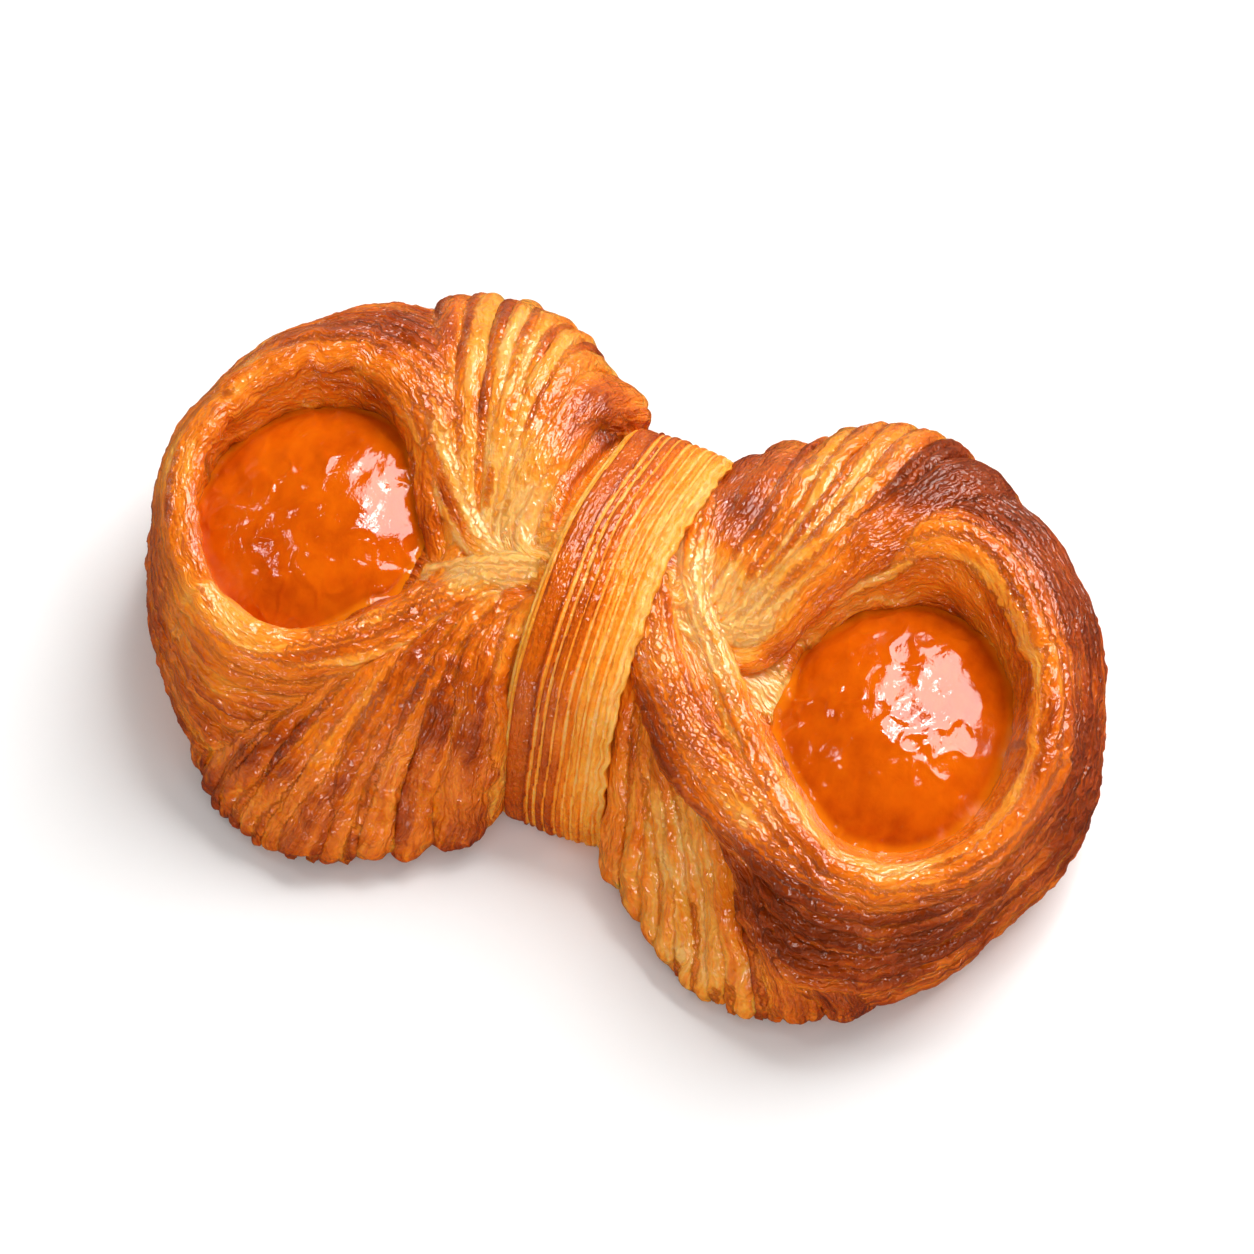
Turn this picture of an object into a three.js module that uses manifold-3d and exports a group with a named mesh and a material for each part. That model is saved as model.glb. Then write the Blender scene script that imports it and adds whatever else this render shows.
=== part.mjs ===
// A bow-tie croissant: a folded sheet of laminated dough with two round pockets, pinched at the
// waist by a separate strip of the same dough, and one apricot half baked into each pocket.
// Millimetres, +Z up. +X runs along the bow, -Y is the front and the flat base lies at z = 0.
import * as THREE from "three";
import { mergeVertices } from "three/addons/utils/BufferGeometryUtils.js";
import Module from "manifold-3d";

const wasm = await Module();
wasm.setup();

// Driving dimensions.
const POCKET_SPACING = 98;
const FIT_GAP = 0.35;
const RING_SIDES = 40;
const BELOW_BASE = 4;
const CORE_DROP = 1.2;
const CORE_STATIONS = 6;
const LIP_DROP = 2;
const ROUNDING = 3;
const MOUTH_CLEARANCE = 4;
const ABOVE_ALL = 30;
const SEAT_DEPTH = 14;
const TABLE_SIZE = 300;
const MERGE_WITHIN = 1e-3;
const SLIVER = 0.15;

const apricot = {
  halfWidth: 19.5,
  halfLength: 22.5,
  domeHeight: 15,
  rimHeight: 17,
  skirt: 1.5,
  bulge: 2.5,
  skirtShrink: 0.93,
  tilt: 6,
  sides: 36,
  steps: 9,
};

const band = {
  halfWidth: 8,
  thickness: 3.2,
  centreY: 4,
  halfSpan: 31,
  height: 38,
  squareness: 2.5,
  edgeDrop: 0.7,
  flatShare: 0.55,
  lean: [2, 1, -1.5, -1, 0.5, 1],
  segments: 44,
};

const waist = {
  halfLength: 30,
  halfSpan: 28,
  top: 33.5,
  endTop: 28,
  centreY: 4,
  squareness: 2.6,
  spread: 0.1,
  fallFrom: 0.2,
  fallTo: 0.7,
  stations: 9,
};

// Each lobe lists one value every 30 degrees, anticlockwise from +X, about its pocket's centre.
const lobes = {
  left: {
    centreX: -POCKET_SPACING / 2,
    outline: [25, 30, 42, 49, 40, 32, 27.8, 26.6, 30, 38, 35, 28],
    crest: [25, 23.5, 25, 26.5, 26, 23.5, 20.8, 20.2, 22.5, 25.5, 24.5, 23.5],
    crestHeight: [30, 32, 36, 38, 38, 37, 36, 34.5, 33, 32, 31, 30.5],
    shoulderDrop: [6, 6, 7, 8, 8, 9, 9, 9, 9, 8, 8, 7],
  },
  right: {
    centreX: POCKET_SPACING / 2,
    outline: [30.5, 33, 42, 50, 40, 31, 26, 28, 34, 38, 33.5, 29.5],
    crest: [24, 25.5, 28, 30, 27.5, 25.5, 26.5, 24, 27.5, 30.5, 28.5, 25],
    crestHeight: [36, 38, 40, 40, 38.5, 35, 31, 31, 31, 31, 31.5, 33.5],
    shoulderDrop: [9, 9, 8, 8, 7, 6, 5, 5, 6, 8, 9, 9],
  },
};
const pocket = {
  halfWidth: 18.2,
  halfLength: 21.8,
  mouthHeight: 28,
  floorHeight: 14,
  lipScale: 1.06,
  footScale: 0.98,
  floorScale: 0.85,
};

// How a lobe's side stands: the share of its outline reached at each height, from under the base.
const lobeSide = [
  { share: 0.86, height: -BELOW_BASE },
  { share: 0.9, height: 1 },
  { share: 0.98, height: 6 },
  { share: 1, height: 14 },
];
// Its shoulder: the share of the way in from outline to crest, and the fall below the crest.
const lobeShoulder = [
  { inwards: 0.3, fall: 1.5 },
  { inwards: 0.65, fall: 0.3 },
];

// Every fan of pleats runs from the waist to the edge of a lobe. Its guides are the crests of some
// of its pleats, as x, y, z from the inner end outwards, and the others lie between them.
const fans = {
  backLeft: {
    pleats: 8,
    halfWidth: [1.6, 3.6],
    guides: [
      [[-25, -1, 29], [-32, 15, 35], [-38, 28, 36.5], [-43, 41, 33], [-45, 51, 24], [-45, 53, 8]],
      [[-22, 3, 30], [-25, 19, 36], [-28, 33, 37], [-30, 45, 33], [-31, 52, 24], [-31, 54, 8]],
      [[-20, 4, 31], [-21, 20, 36], [-20, 32, 36], [-19, 41, 32], [-18, 46, 22], [-18, 46.5, 8]],
      [[-14, 3, 33], [-13, 18, 36], [-11, 28, 32], [-10, 34, 27], [-9, 38, 19], [-9, 38.5, 8]],
    ],
  },
  frontLeft: {
    pleats: 9,
    halfWidth: [1.6, 3.4],
    guides: [
      [[-27, -9, 30], [-34, -22, 29], [-44, -32, 24], [-51, -36, 13], [-53, -36, 3]],
      [[-24, -8, 30], [-29, -24, 27], [-33, -36, 19], [-36, -43, 9], [-37, -45, 3]],
      [[-20, -7, 31], [-22, -24, 27], [-24, -35, 17], [-25, -41, 8], [-26, -42.5, 3]],
      [[-13, -3, 34], [-12, -20, 28], [-12, -28, 17], [-12, -31.5, 8], [-12, -32, 3]],
    ],
  },
  backRight: {
    pleats: 9,
    halfWidth: [1.6, 3.6],
    guides: [
      [[11, 2, 34], [11, 14, 34.5], [11, 26, 33], [11, 36, 27], [11, 39, 18], [11, 39, 8]],
      [[15, 2, 32.5], [18, 19, 36], [20, 34, 35], [22, 46, 28], [23, 50, 18], [23, 50, 8]],
      [[20, 1, 32], [27, 16, 38], [31, 30, 39], [34, 43, 36], [36, 52, 27], [36, 54, 8]],
      [[24, 0, 31], [33, 18, 38], [42, 31, 39.5], [48, 41, 36], [51, 47, 25], [51, 48.5, 8]],
    ],
  },
  frontRight: {
    pleats: 9,
    halfWidth: [1.6, 3.6],
    guides: [
      [[8, -4, 36], [10, -15, 29], [13, -24, 18], [15, -29, 8], [15, -29.5, 3]],
      [[11, -6, 35], [17, -18, 28], [23, -30, 17], [28, -39, 8], [28.5, -40, 3]],
      [[16, -9, 33], [26, -21, 28], [35, -33, 20], [42, -42, 9], [43, -43.5, 3]],
      [[22, -12, 32], [35, -25, 29], [47, -34, 24], [57, -37, 12], [59, -37, 3]],
    ],
  },
};

// A pleat's round top as shares of its half width, and where along it it steadies and how fast it widens.
const pleat = {
  stations: 8,
  roundTop: [-1, -0.7, 0, 0.7, 1],
  roundness: 0.95,
  steadyFrom: 0.75,
  widening: 1.4,
};

// Folds that cross the fans: crest points from end to end and the half width along them.
const folds = [
  {
    halfWidth: [2.6, 4.6],
    crest: [[5, 4, 35.5], [11, -6, 35], [20, -14, 32], [31, -22, 31], [43, -28, 29], [55, -30, 26]],
  },
  { halfWidth: [1.6, 2], crest: [[9, 32, 27], [9.5, 22, 34.5], [11, 12, 36], [15, 4, 34.5], [20, 0, 31]] },
  { halfWidth: [1.8, 2.6], crest: [[-20, 0, 31], [-31, 14, 36.5], [-40, 23, 37], [-50, 27, 36]] },
];

const point = (x, y, z) => new THREE.Vector3(x, y, z);

// A closed surface through rings of equal size, closed at each end by a fan about a centre.
function loft(rings, firstCentre, lastCentre) {
  const sides = rings[0].length;
  const positions = rings.flat().concat([firstCentre, lastCentre]).flatMap((p) => [p.x, p.y, p.z]);
  const first = rings.length * sides;
  const last = first + 1;
  const index = [];
  for (let i = 0; i < sides; i++) {
    const next = (i + 1) % sides;
    index.push(first, next, i);
    index.push(last, (rings.length - 1) * sides + i, (rings.length - 1) * sides + next);
    for (let k = 0; k + 1 < rings.length; k++) {
      const a = k * sides;
      const b = a + sides;
      index.push(a + i, a + next, b + next, a + i, b + next, b + i);
    }
  }
  const geometry = new THREE.BufferGeometry();
  geometry.setAttribute("position", new THREE.Float32BufferAttribute(positions, 3));
  geometry.setIndex(index);
  return geometry;
}

const ringMiddle = (ring) =>
  ring.reduce((sum, p) => sum.add(p), point(0, 0, 0)).divideScalar(ring.length);

// A geometry as a solid for cutting and joining, and back again.
function solid(geometry, mayTurn = false) {
  const bare = geometry.index ? geometry.toNonIndexed() : geometry.clone();
  bare.deleteAttribute("normal");
  bare.deleteAttribute("uv");
  const merged = mergeVertices(bare, MERGE_WITHIN);
  const made = new wasm.Manifold(
    new wasm.Mesh({
      numProp: 3,
      vertProperties: merged.attributes.position.array,
      triVerts: new Uint32Array(merged.index.array),
    }),
  );
  if (made.volume() > 0) return made;
  if (mayTurn) return solid(turnedInsideOut(geometry));
  throw new Error("a solid is inside out");
}

function turnedInsideOut(geometry) {
  const turned = geometry.clone();
  turned.setIndex(Array.from(geometry.index.array).reverse());
  return turned;
}

function geometryOf(shape) {
  const mesh = shape.getMesh();
  const geometry = new THREE.BufferGeometry();
  geometry.setAttribute("position", new THREE.BufferAttribute(mesh.vertProperties, 3));
  geometry.setIndex(new THREE.BufferAttribute(mesh.triVerts, 1));
  geometry.computeVertexNormals();
  return geometry;
}

// The value at an angle from 0 to 1 turn, on a smooth closed curve through evenly spaced values.
function around(values, turn) {
  const curve = new THREE.CatmullRomCurve3(values.map((v) => point(v, 0, 0)), true);
  return curve.getPoint(turn - Math.floor(turn)).x;
}

function lobeSolid(lobe) {
  const ringAt = (radius, height) =>
    Array.from({ length: RING_SIDES }, (_, i) => {
      const turn = i / RING_SIDES;
      const angle = turn * 2 * Math.PI;
      const r = radius(turn, angle);
      return point(lobe.centreX + r * Math.cos(angle), r * Math.sin(angle), height(turn));
    });
  const outline = (turn) => around(lobe.outline, turn);
  const crest = (turn) => around(lobe.crest, turn);
  const top = (turn) => around(lobe.crestHeight, turn);
  const drop = (turn) => around(lobe.shoulderDrop, turn);
  const mouth = (scale) => (turn, angle) =>
    scale / Math.hypot(Math.cos(angle) / pocket.halfWidth, Math.sin(angle) / pocket.halfLength);
  const rings = [
    ...lobeSide.map(({ share, height }) => ringAt((t) => outline(t) * share, () => height)),
    ...lobeShoulder.map(({ inwards, fall }) =>
      ringAt(
        (t) => THREE.MathUtils.lerp(outline(t), crest(t), inwards),
        (t) => top(t) - fall * drop(t),
      ),
    ),
    ringAt(crest, top),
    ringAt(mouth(pocket.lipScale), (t) => Math.min(top(t) - LIP_DROP, pocket.mouthHeight + ROUNDING)),
    ringAt(mouth(1), () => pocket.mouthHeight - ROUNDING),
    ringAt(mouth(pocket.footScale), () => pocket.floorHeight + ROUNDING),
    ringAt(mouth(pocket.floorScale), () => pocket.floorHeight),
  ];
  const floor = point(lobe.centreX, 0, pocket.floorHeight);
  return solid(loft(rings, point(lobe.centreX, 0, -BELOW_BASE), floor));
}

// A point on a rounded rectangle in the plane across the bow, at an angle from the +Y side.
function acrossWaist(x, angle, halfSpan, bottom, top, centreY, squareness) {
  const c = Math.cos(angle);
  const s = Math.sin(angle);
  const power = 2 / squareness;
  const y = Math.sign(c) * Math.abs(c) ** power * halfSpan;
  const z = Math.sign(s) * Math.abs(s) ** power * ((top - bottom) / 2);
  return point(x, centreY + y, (top + bottom) / 2 + z);
}

function waistSolid() {
  const rings = Array.from({ length: waist.stations }, (_, k) => {
    const x = waist.halfLength * ((2 * k) / (waist.stations - 1) - 1);
    const outwards = Math.abs(x) / waist.halfLength;
    const spread = 1 + waist.spread * Math.sin(Math.PI * outwards);
    const fall = THREE.MathUtils.smoothstep(outwards, waist.fallFrom, waist.fallTo);
    return Array.from({ length: RING_SIDES }, (_, i) =>
      acrossWaist(
        x,
        (i / RING_SIDES) * 2 * Math.PI,
        waist.halfSpan * spread,
        -BELOW_BASE,
        THREE.MathUtils.lerp(waist.top, waist.endTop, fall),
        waist.centreY,
        waist.squareness,
      ),
    );
  });
  const middle = (waist.top - BELOW_BASE) / 2;
  const end = (side) => point(side * waist.halfLength, waist.centreY, middle);
  return solid(loft(rings, end(-1), end(1)));
}

// One pleat: a wall of dough with a round top that follows a crest and stands on the base.
function pleatSolid(crest, halfWidths) {
  const curve = new THREE.CatmullRomCurve3(crest, false, "centripetal");
  const { stations, roundTop, roundness, steadyFrom, widening } = pleat;
  const rings = Array.from({ length: stations }, (_, k) => {
    const t = k / (stations - 1);
    const at = curve.getPoint(t);
    const flat = curve.getTangent(Math.min(t, steadyFrom)).setZ(0).normalize();
    const side = point(flat.y, -flat.x, 0);
    const half = THREE.MathUtils.lerp(halfWidths[0], halfWidths[1], Math.min(1, t * widening));
    const fall = (a) => half * (1 - Math.sqrt(1 - (roundness * a) ** 2));
    const section = roundTop.map((a) =>
      at.clone().addScaledVector(side, a * half).setZ(at.z - fall(a)),
    );
    const foot = [1, -1].map((a) => at.clone().addScaledVector(side, a * half).setZ(-BELOW_BASE));
    return section.concat(foot);
  });
  return solid(loft(rings, ringMiddle(rings[0]), ringMiddle(rings[stations - 1])));
}

// The dough under a fan, from one guide to the next and a little lower than the crests.
function fanCore(guide, nextGuide) {
  const stations = CORE_STATIONS;
  const [near, far] = [guide, nextGuide].map(
    (g) => new THREE.CatmullRomCurve3(g.map((p) => point(...p)), false, "centripetal"),
  );
  const rings = Array.from({ length: stations }, (_, k) => {
    const ends = [near, far].map((curve) => curve.getPoint(k / (stations - 1)));
    const top = ends.map((p) => p.clone().setZ(p.z - CORE_DROP));
    const foot = ends.map((p) => p.clone().setZ(-BELOW_BASE));
    return [top[0], top[1], foot[1], foot[0]];
  });
  return loft(rings, ringMiddle(rings[0]), ringMiddle(rings[stations - 1]));
}

function fanSolids(fan) {
  const cores = fan.guides.slice(1).map((guide, k) => solid(fanCore(fan.guides[k], guide), true));
  const pleats = Array.from({ length: fan.pleats }, (_, i) => {
    const place = (i / (fan.pleats - 1)) * (fan.guides.length - 1);
    const k = Math.min(Math.floor(place), fan.guides.length - 2);
    const crest = fan.guides[k].map((p, j) =>
      point(...p).lerp(point(...fan.guides[k + 1][j]), place - k),
    );
    return pleatSolid(crest, fan.halfWidth);
  });
  return cores.concat(pleats);
}

// The strip of dough wound round the waist, grown by a gap when it cuts its own seat.
function bandSolid(gap, outerGrowth) {
  const half = band.halfWidth + gap;
  const section = (angle, turn) => {
    const centre = around(band.lean, turn);
    const outer = (x, lift) => {
      const p = acrossWaist(
        centre + x,
        angle,
        band.halfSpan + lift + outerGrowth,
        -lift - outerGrowth,
        band.height + lift + outerGrowth,
        band.centreY,
        band.squareness,
      );
      return outerGrowth ? p : p.setZ(Math.max(p.z, 0));
    };
    const inner = (x) => {
      const depth = band.thickness + gap;
      return acrossWaist(
        centre + x,
        angle,
        band.halfSpan - depth,
        depth,
        band.height - depth,
        band.centreY,
        band.squareness,
      );
    };
    return [
      inner(half),
      outer(half, -band.edgeDrop),
      outer(half * band.flatShare, 0),
      outer(-half * band.flatShare, 0),
      outer(-half, -band.edgeDrop),
      inner(-half),
    ];
  };
  const rings = Array.from({ length: band.segments }, (_, i) => {
    const turn = i / band.segments;
    return section(turn * 2 * Math.PI, turn);
  });
  const sides = rings[0].length;
  const index = [];
  for (let k = 0; k < band.segments; k++) {
    const a = k * sides;
    const b = ((k + 1) % band.segments) * sides;
    for (let i = 0; i < sides; i++) {
      const next = (i + 1) % sides;
      index.push(a + i, a + next, b + next, a + i, b + next, b + i);
    }
  }
  const geometry = new THREE.BufferGeometry();
  const positions = rings.flat().flatMap((p) => [p.x, p.y, p.z]);
  geometry.setAttribute("position", new THREE.Float32BufferAttribute(positions, 3));
  geometry.setIndex(index);
  return solid(geometry);
}

// An apricot half lies cut face down: a full dome over a short skirt, on the flat cut face.
function apricotGeometry(grow) {
  const foot = -apricot.skirt - grow;
  const widen = 1 + grow / apricot.halfWidth;
  const power = 2 / apricot.bulge;
  const profile = [new THREE.Vector2(0, foot), new THREE.Vector2(apricot.skirtShrink * widen, foot)];
  for (let i = 0; i < apricot.steps; i++) {
    const angle = ((i / apricot.steps) * Math.PI) / 2;
    const height = Math.sin(angle) ** power * (apricot.domeHeight + grow);
    profile.push(new THREE.Vector2(Math.cos(angle) ** power * widen, height));
  }
  profile.push(new THREE.Vector2(0, apricot.domeHeight + grow));
  return new THREE.LatheGeometry(profile, apricot.sides)
    .rotateX(Math.PI / 2)
    .scale(apricot.halfWidth, apricot.halfLength, 1);
}

function placeApricot(object, lobe) {
  object.position.set(lobe.centreX, 0, apricot.rimHeight);
  object.rotation.x = THREE.MathUtils.degToRad(apricot.tilt);
  object.updateMatrix();
  return object;
}

function apricotCutter(lobe) {
  const place = placeApricot(new THREE.Object3D(), lobe);
  return solid(apricotGeometry(FIT_GAP).applyMatrix4(place.matrix));
}

// Everything above a pocket's mouth, so that no pleat reaches in over the fruit.
function mouthCutter(lobe) {
  const shape = new THREE.Shape();
  shape.absellipse(lobe.centreX, 0, pocket.halfWidth, pocket.halfLength, 0, 2 * Math.PI);
  const geometry = new THREE.ExtrudeGeometry(shape, {
    depth: ABOVE_ALL,
    bevelEnabled: false,
    curveSegments: RING_SIDES / 2,
  });
  return solid(geometry.translate(0, 0, pocket.mouthHeight - MOUTH_CLEARANCE));
}

function pastrySolid() {
  const lobeList = Object.values(lobes);
  const pieces = [
    waistSolid(),
    ...lobeList.map(lobeSolid),
    ...Object.values(fans).flatMap(fanSolids),
    ...folds.map((fold) => pleatSolid(fold.crest.map((p) => point(...p)), fold.halfWidth)),
  ];
  let body = pieces.reduce((sum, piece) => sum.add(piece));
  for (const lobe of lobeList) {
    body = body.subtract(apricotCutter(lobe)).subtract(mouthCutter(lobe));
  }
  body = body.subtract(bandSolid(FIT_GAP, SEAT_DEPTH));
  const table = new THREE.BoxGeometry(TABLE_SIZE, TABLE_SIZE, TABLE_SIZE);
  return body.subtract(solid(table.translate(0, 0, -TABLE_SIZE / 2))).simplify(SLIVER);
}

const materials = {
  dough: new THREE.MeshStandardMaterial({ color: 0xc9782a, roughness: 0.45, metalness: 0 }),
  strip: new THREE.MeshStandardMaterial({ color: 0xb5652a, roughness: 0.35, metalness: 0 }),
  fruit: new THREE.MeshStandardMaterial({ color: 0xe8720c, roughness: 0.12, metalness: 0 }),
};

function named(name, geometry, material) {
  const mesh = new THREE.Mesh(geometry, material);
  mesh.name = name;
  return mesh;
}

const bow = new THREE.Group();
bow.add(named("pastry_body", geometryOf(pastrySolid()), materials.dough));
bow.add(named("waist_band", geometryOf(bandSolid(0, 0)), materials.strip));
for (const [side, lobe] of Object.entries(lobes)) {
  const fruit = named(`apricot_half_${side}`, apricotGeometry(0), materials.fruit);
  bow.add(placeApricot(fruit, lobe));
}

// The frame's origin is the middle of the base.
const bounds = new THREE.Box3().setFromObject(bow);
const middle = bounds.getCenter(new THREE.Vector3());
bow.position.set(-middle.x, -middle.y, -bounds.min.z);

export default bow;
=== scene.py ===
import math

import bpy
import numpy as np
import openvdb
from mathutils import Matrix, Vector
from mathutils.kdtree import KDTree


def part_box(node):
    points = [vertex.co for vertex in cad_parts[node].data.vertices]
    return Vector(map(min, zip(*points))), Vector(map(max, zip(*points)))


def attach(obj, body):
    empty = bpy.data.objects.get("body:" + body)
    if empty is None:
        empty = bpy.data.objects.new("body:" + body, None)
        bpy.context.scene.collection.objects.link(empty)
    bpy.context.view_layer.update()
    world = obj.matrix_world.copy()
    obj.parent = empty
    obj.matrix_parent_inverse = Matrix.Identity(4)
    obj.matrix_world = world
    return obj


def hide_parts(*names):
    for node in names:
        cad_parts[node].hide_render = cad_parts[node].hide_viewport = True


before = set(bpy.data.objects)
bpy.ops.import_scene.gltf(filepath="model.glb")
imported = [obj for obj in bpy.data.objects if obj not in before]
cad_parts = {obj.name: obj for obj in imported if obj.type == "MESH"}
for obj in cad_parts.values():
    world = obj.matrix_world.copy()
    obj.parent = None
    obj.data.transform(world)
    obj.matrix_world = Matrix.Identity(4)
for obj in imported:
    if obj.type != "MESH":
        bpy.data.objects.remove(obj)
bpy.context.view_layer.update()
print("frame loaded:", sorted(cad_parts))

mm = 0.001
bandCentreY = 4
belowBase = -3.0     # how far down the lobes and fans reach before the base is cut flat


def boxMiddle(node):
    low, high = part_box(node)
    return (low + high) / 2


fruitMiddles = [boxMiddle("apricot_half_left"), boxMiddle("apricot_half_right")]
bowMiddle = Vector((
    (fruitMiddles[0].x + fruitMiddles[1].x) / 2,
    boxMiddle("waist_band").y - bandCentreY * mm,
    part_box("pastry_body")[0].z,
))
pocketX = (fruitMiddles[1].x - fruitMiddles[0].x) / mm / 2


# Lines, noise and grids.

def curveBetween(a, b, c, d, t):  # from b to c as t goes from 0 to 1, in line with a and d
    return b + 0.5 * t * (c - a + t * (2 * a - 5 * b + 4 * c - d + t * (3 * (b - c) + d - a)))


def lengthAlong(line):
    steps = np.linalg.norm(np.diff(line, axis=0), axis=1)
    return np.concatenate([[0], np.cumsum(steps)])


def spread(values, count):  # evenly spaced values drawn out to a longer row
    return np.interp(np.linspace(0, 1, count), np.linspace(0, 1, len(values)), values)


def smoothLine(points, count, closed=False):
    p = np.array(points, float)
    if closed:
        p = np.vstack([p[-1:], p, p[:2]])
    else:
        p = np.vstack([2 * p[:1] - p[1:2], p, 2 * p[-1:] - p[-2:-1]])
    t = np.linspace(0, 1, 24, endpoint=False)[:, None]
    runs = [curveBetween(*four, t) for four in zip(p[:-3], p[1:-2], p[2:-1], p[3:])]
    dense = np.vstack(runs + [p[-2:-1]])
    length = lengthAlong(dense)
    want = np.linspace(0, length[-1], count, endpoint=not closed)
    return np.stack([np.interp(want, length, dense[:, k]) for k in range(dense.shape[1])], axis=1)


def aroundTurn(values, angle):  # evenly spaced values round a full turn, smoothed
    values = np.array(values, float)
    place = (angle / (2 * math.pi) * len(values)) % len(values)
    k = np.floor(place).astype(int)
    four = (values[(k + shift) % len(values)] for shift in (-1, 0, 1, 2))
    return curveBetween(*four, place - k)


def unit(v):
    return v / np.maximum(np.linalg.norm(v, axis=-1, keepdims=True), 1e-9)


cubeCorners = [np.array([k & 1, (k >> 1) & 1, (k >> 2) & 1]) for k in range(8)]


def noise3(p, seed=0):  # smooth noise from about -1 to 1, one feature per unit
    cell = np.floor(p).astype(np.int64)
    f = p - cell
    blend = f * f * f * (f * (f * 6 - 15) + 10)
    total = np.zeros(len(p))
    for step in cubeCorners:
        c = cell + step
        h = (c[:, 0] * 73856093) ^ (c[:, 1] * 19349663) ^ (c[:, 2] * 83492791) ^ (seed * 52711 + 977)
        h = ((h ^ (h >> 13)) * 1274126177) & 0xFFFFFFFF
        h = ((h ^ (h >> 15)) * 2246822519) & 0xFFFFFFFF
        h = h ^ (h >> 16)
        slope = np.stack([h & 1023, (h >> 10) & 1023, (h >> 20) & 1023], axis=1) / 511.5 - 1
        weight = np.prod(np.where(step == 1, blend, 1 - blend), axis=1)
        total += weight * np.sum(slope * (f - step), axis=1)
    return total * 1.25


def layeredNoise(p, octaves, seed=0):
    total = np.zeros(len(p))
    for k in range(octaves):
        total += 0.5 ** k * noise3(p * 2 ** k, seed + 31 * k)
    return total


def drift(p, seeds):  # a noise of its own for each of x, y and z
    return np.stack([noise3(p, seed) for seed in seeds], axis=1)


def smoothStep(x, low, high):
    t = np.clip((x - low) / (high - low), 0, 1)
    return t * t * (3 - 2 * t)


def withEnds(grid):  # the grid's points, with the middle of its first row and of its last
    return np.vstack([grid.reshape(-1, 3), grid[0].mean(0)[None], grid[-1].mean(0)[None]])


def loftFaces(rows, columns):
    a = np.arange(rows - 1)[:, None] * columns + np.arange(columns)[None]
    b = np.arange(rows - 1)[:, None] * columns + (np.arange(columns)[None] + 1) % columns
    quads = np.stack([a, b, b + columns, a + columns], -1).reshape(-1, 4)
    ring = np.arange(columns)
    following = (ring + 1) % columns
    end = (rows - 1) * columns
    caps = np.vstack([
        np.stack([np.full(columns, rows * columns), following, ring], 1),
        np.stack([np.full(columns, rows * columns + 1), end + ring, end + following], 1),
    ])
    return quads, caps


# Every dough form is a grid of points: rows run one way over it and columns close round it. It also
# says, for each point, how far it lies across and along the grain, so that the finished surface knows
# which way its layers run.
def doughForm(grid, across, along, kind, tone=0.5):
    rows, columns = grid.shape[:2]
    quads, caps = loftFaces(rows, columns)
    rowStep = np.gradient(grid, axis=0)
    columnStep = (np.roll(grid, -1, axis=1) - np.roll(grid, 1, axis=1)) / 2
    columnStep[:, 0] = grid[:, 1] - grid[:, 0]
    columnStep[:, -1] = grid[:, -1] - grid[:, -2]
    return {"points": withEnds(grid), "quads": quads, "caps": caps, "grid": grid, "across": across,
            "along": along, "rowStep": rowStep, "columnStep": columnStep, "kind": kind, "tone": tone}


# The round lobes: one value every 30 degrees, anticlockwise from +X about the pocket.

lobes = {
    "left": {
        "x": -pocketX,
        "outline": [25, 30, 42, 48, 39, 32, 28, 27, 30, 37, 35, 28],
        "crest": [25, 21.5, 23, 26, 24.5, 22.4, 22, 22.2, 23.4, 26, 26, 25],
        "crestHeight": [30, 33.5, 37, 38, 38, 37, 36, 35, 34, 32, 31, 30.5],
        "inner": [20, 20, 21, 22, 20.6, 19.8, 19.6, 20, 20.6, 22.8, 21.2, 20],
        "innerHeight": [27.5, 28, 29.5, 30, 30, 29, 27, 26, 26, 26, 26.5, 27],
        "drop": [6, 6, 6, 7, 8, 9, 9, 9, 9, 8, 8, 7],
    },
    "right": {
        "x": pocketX,
        "outline": [30.5, 33, 41, 49, 40, 31, 26, 28, 35, 40, 34, 29.5],
        "crest": [24, 23, 24.7, 28, 26.5, 24.5, 28.5, 24.5, 24.5, 29, 29.5, 26.5],
        "crestHeight": [36, 38, 40, 40, 37.5, 34, 31, 31, 31, 31, 31.5, 33],
        "inner": [18, 18.9, 20.4, 22.2, 20.5, 19.6, 25.5, 19.2, 19, 22, 22, 19.5],
        "innerHeight": [26, 28, 29.5, 31, 30.5, 29, 27, 26.5, 25.5, 25, 25, 25],
        "drop": [9, 9, 8, 8, 7, 6, 5, 5, 6, 7, 8, 9],
    },
}


grainRadius = 30.0    # one length for the grain round a lobe, however far out it lies


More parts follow.
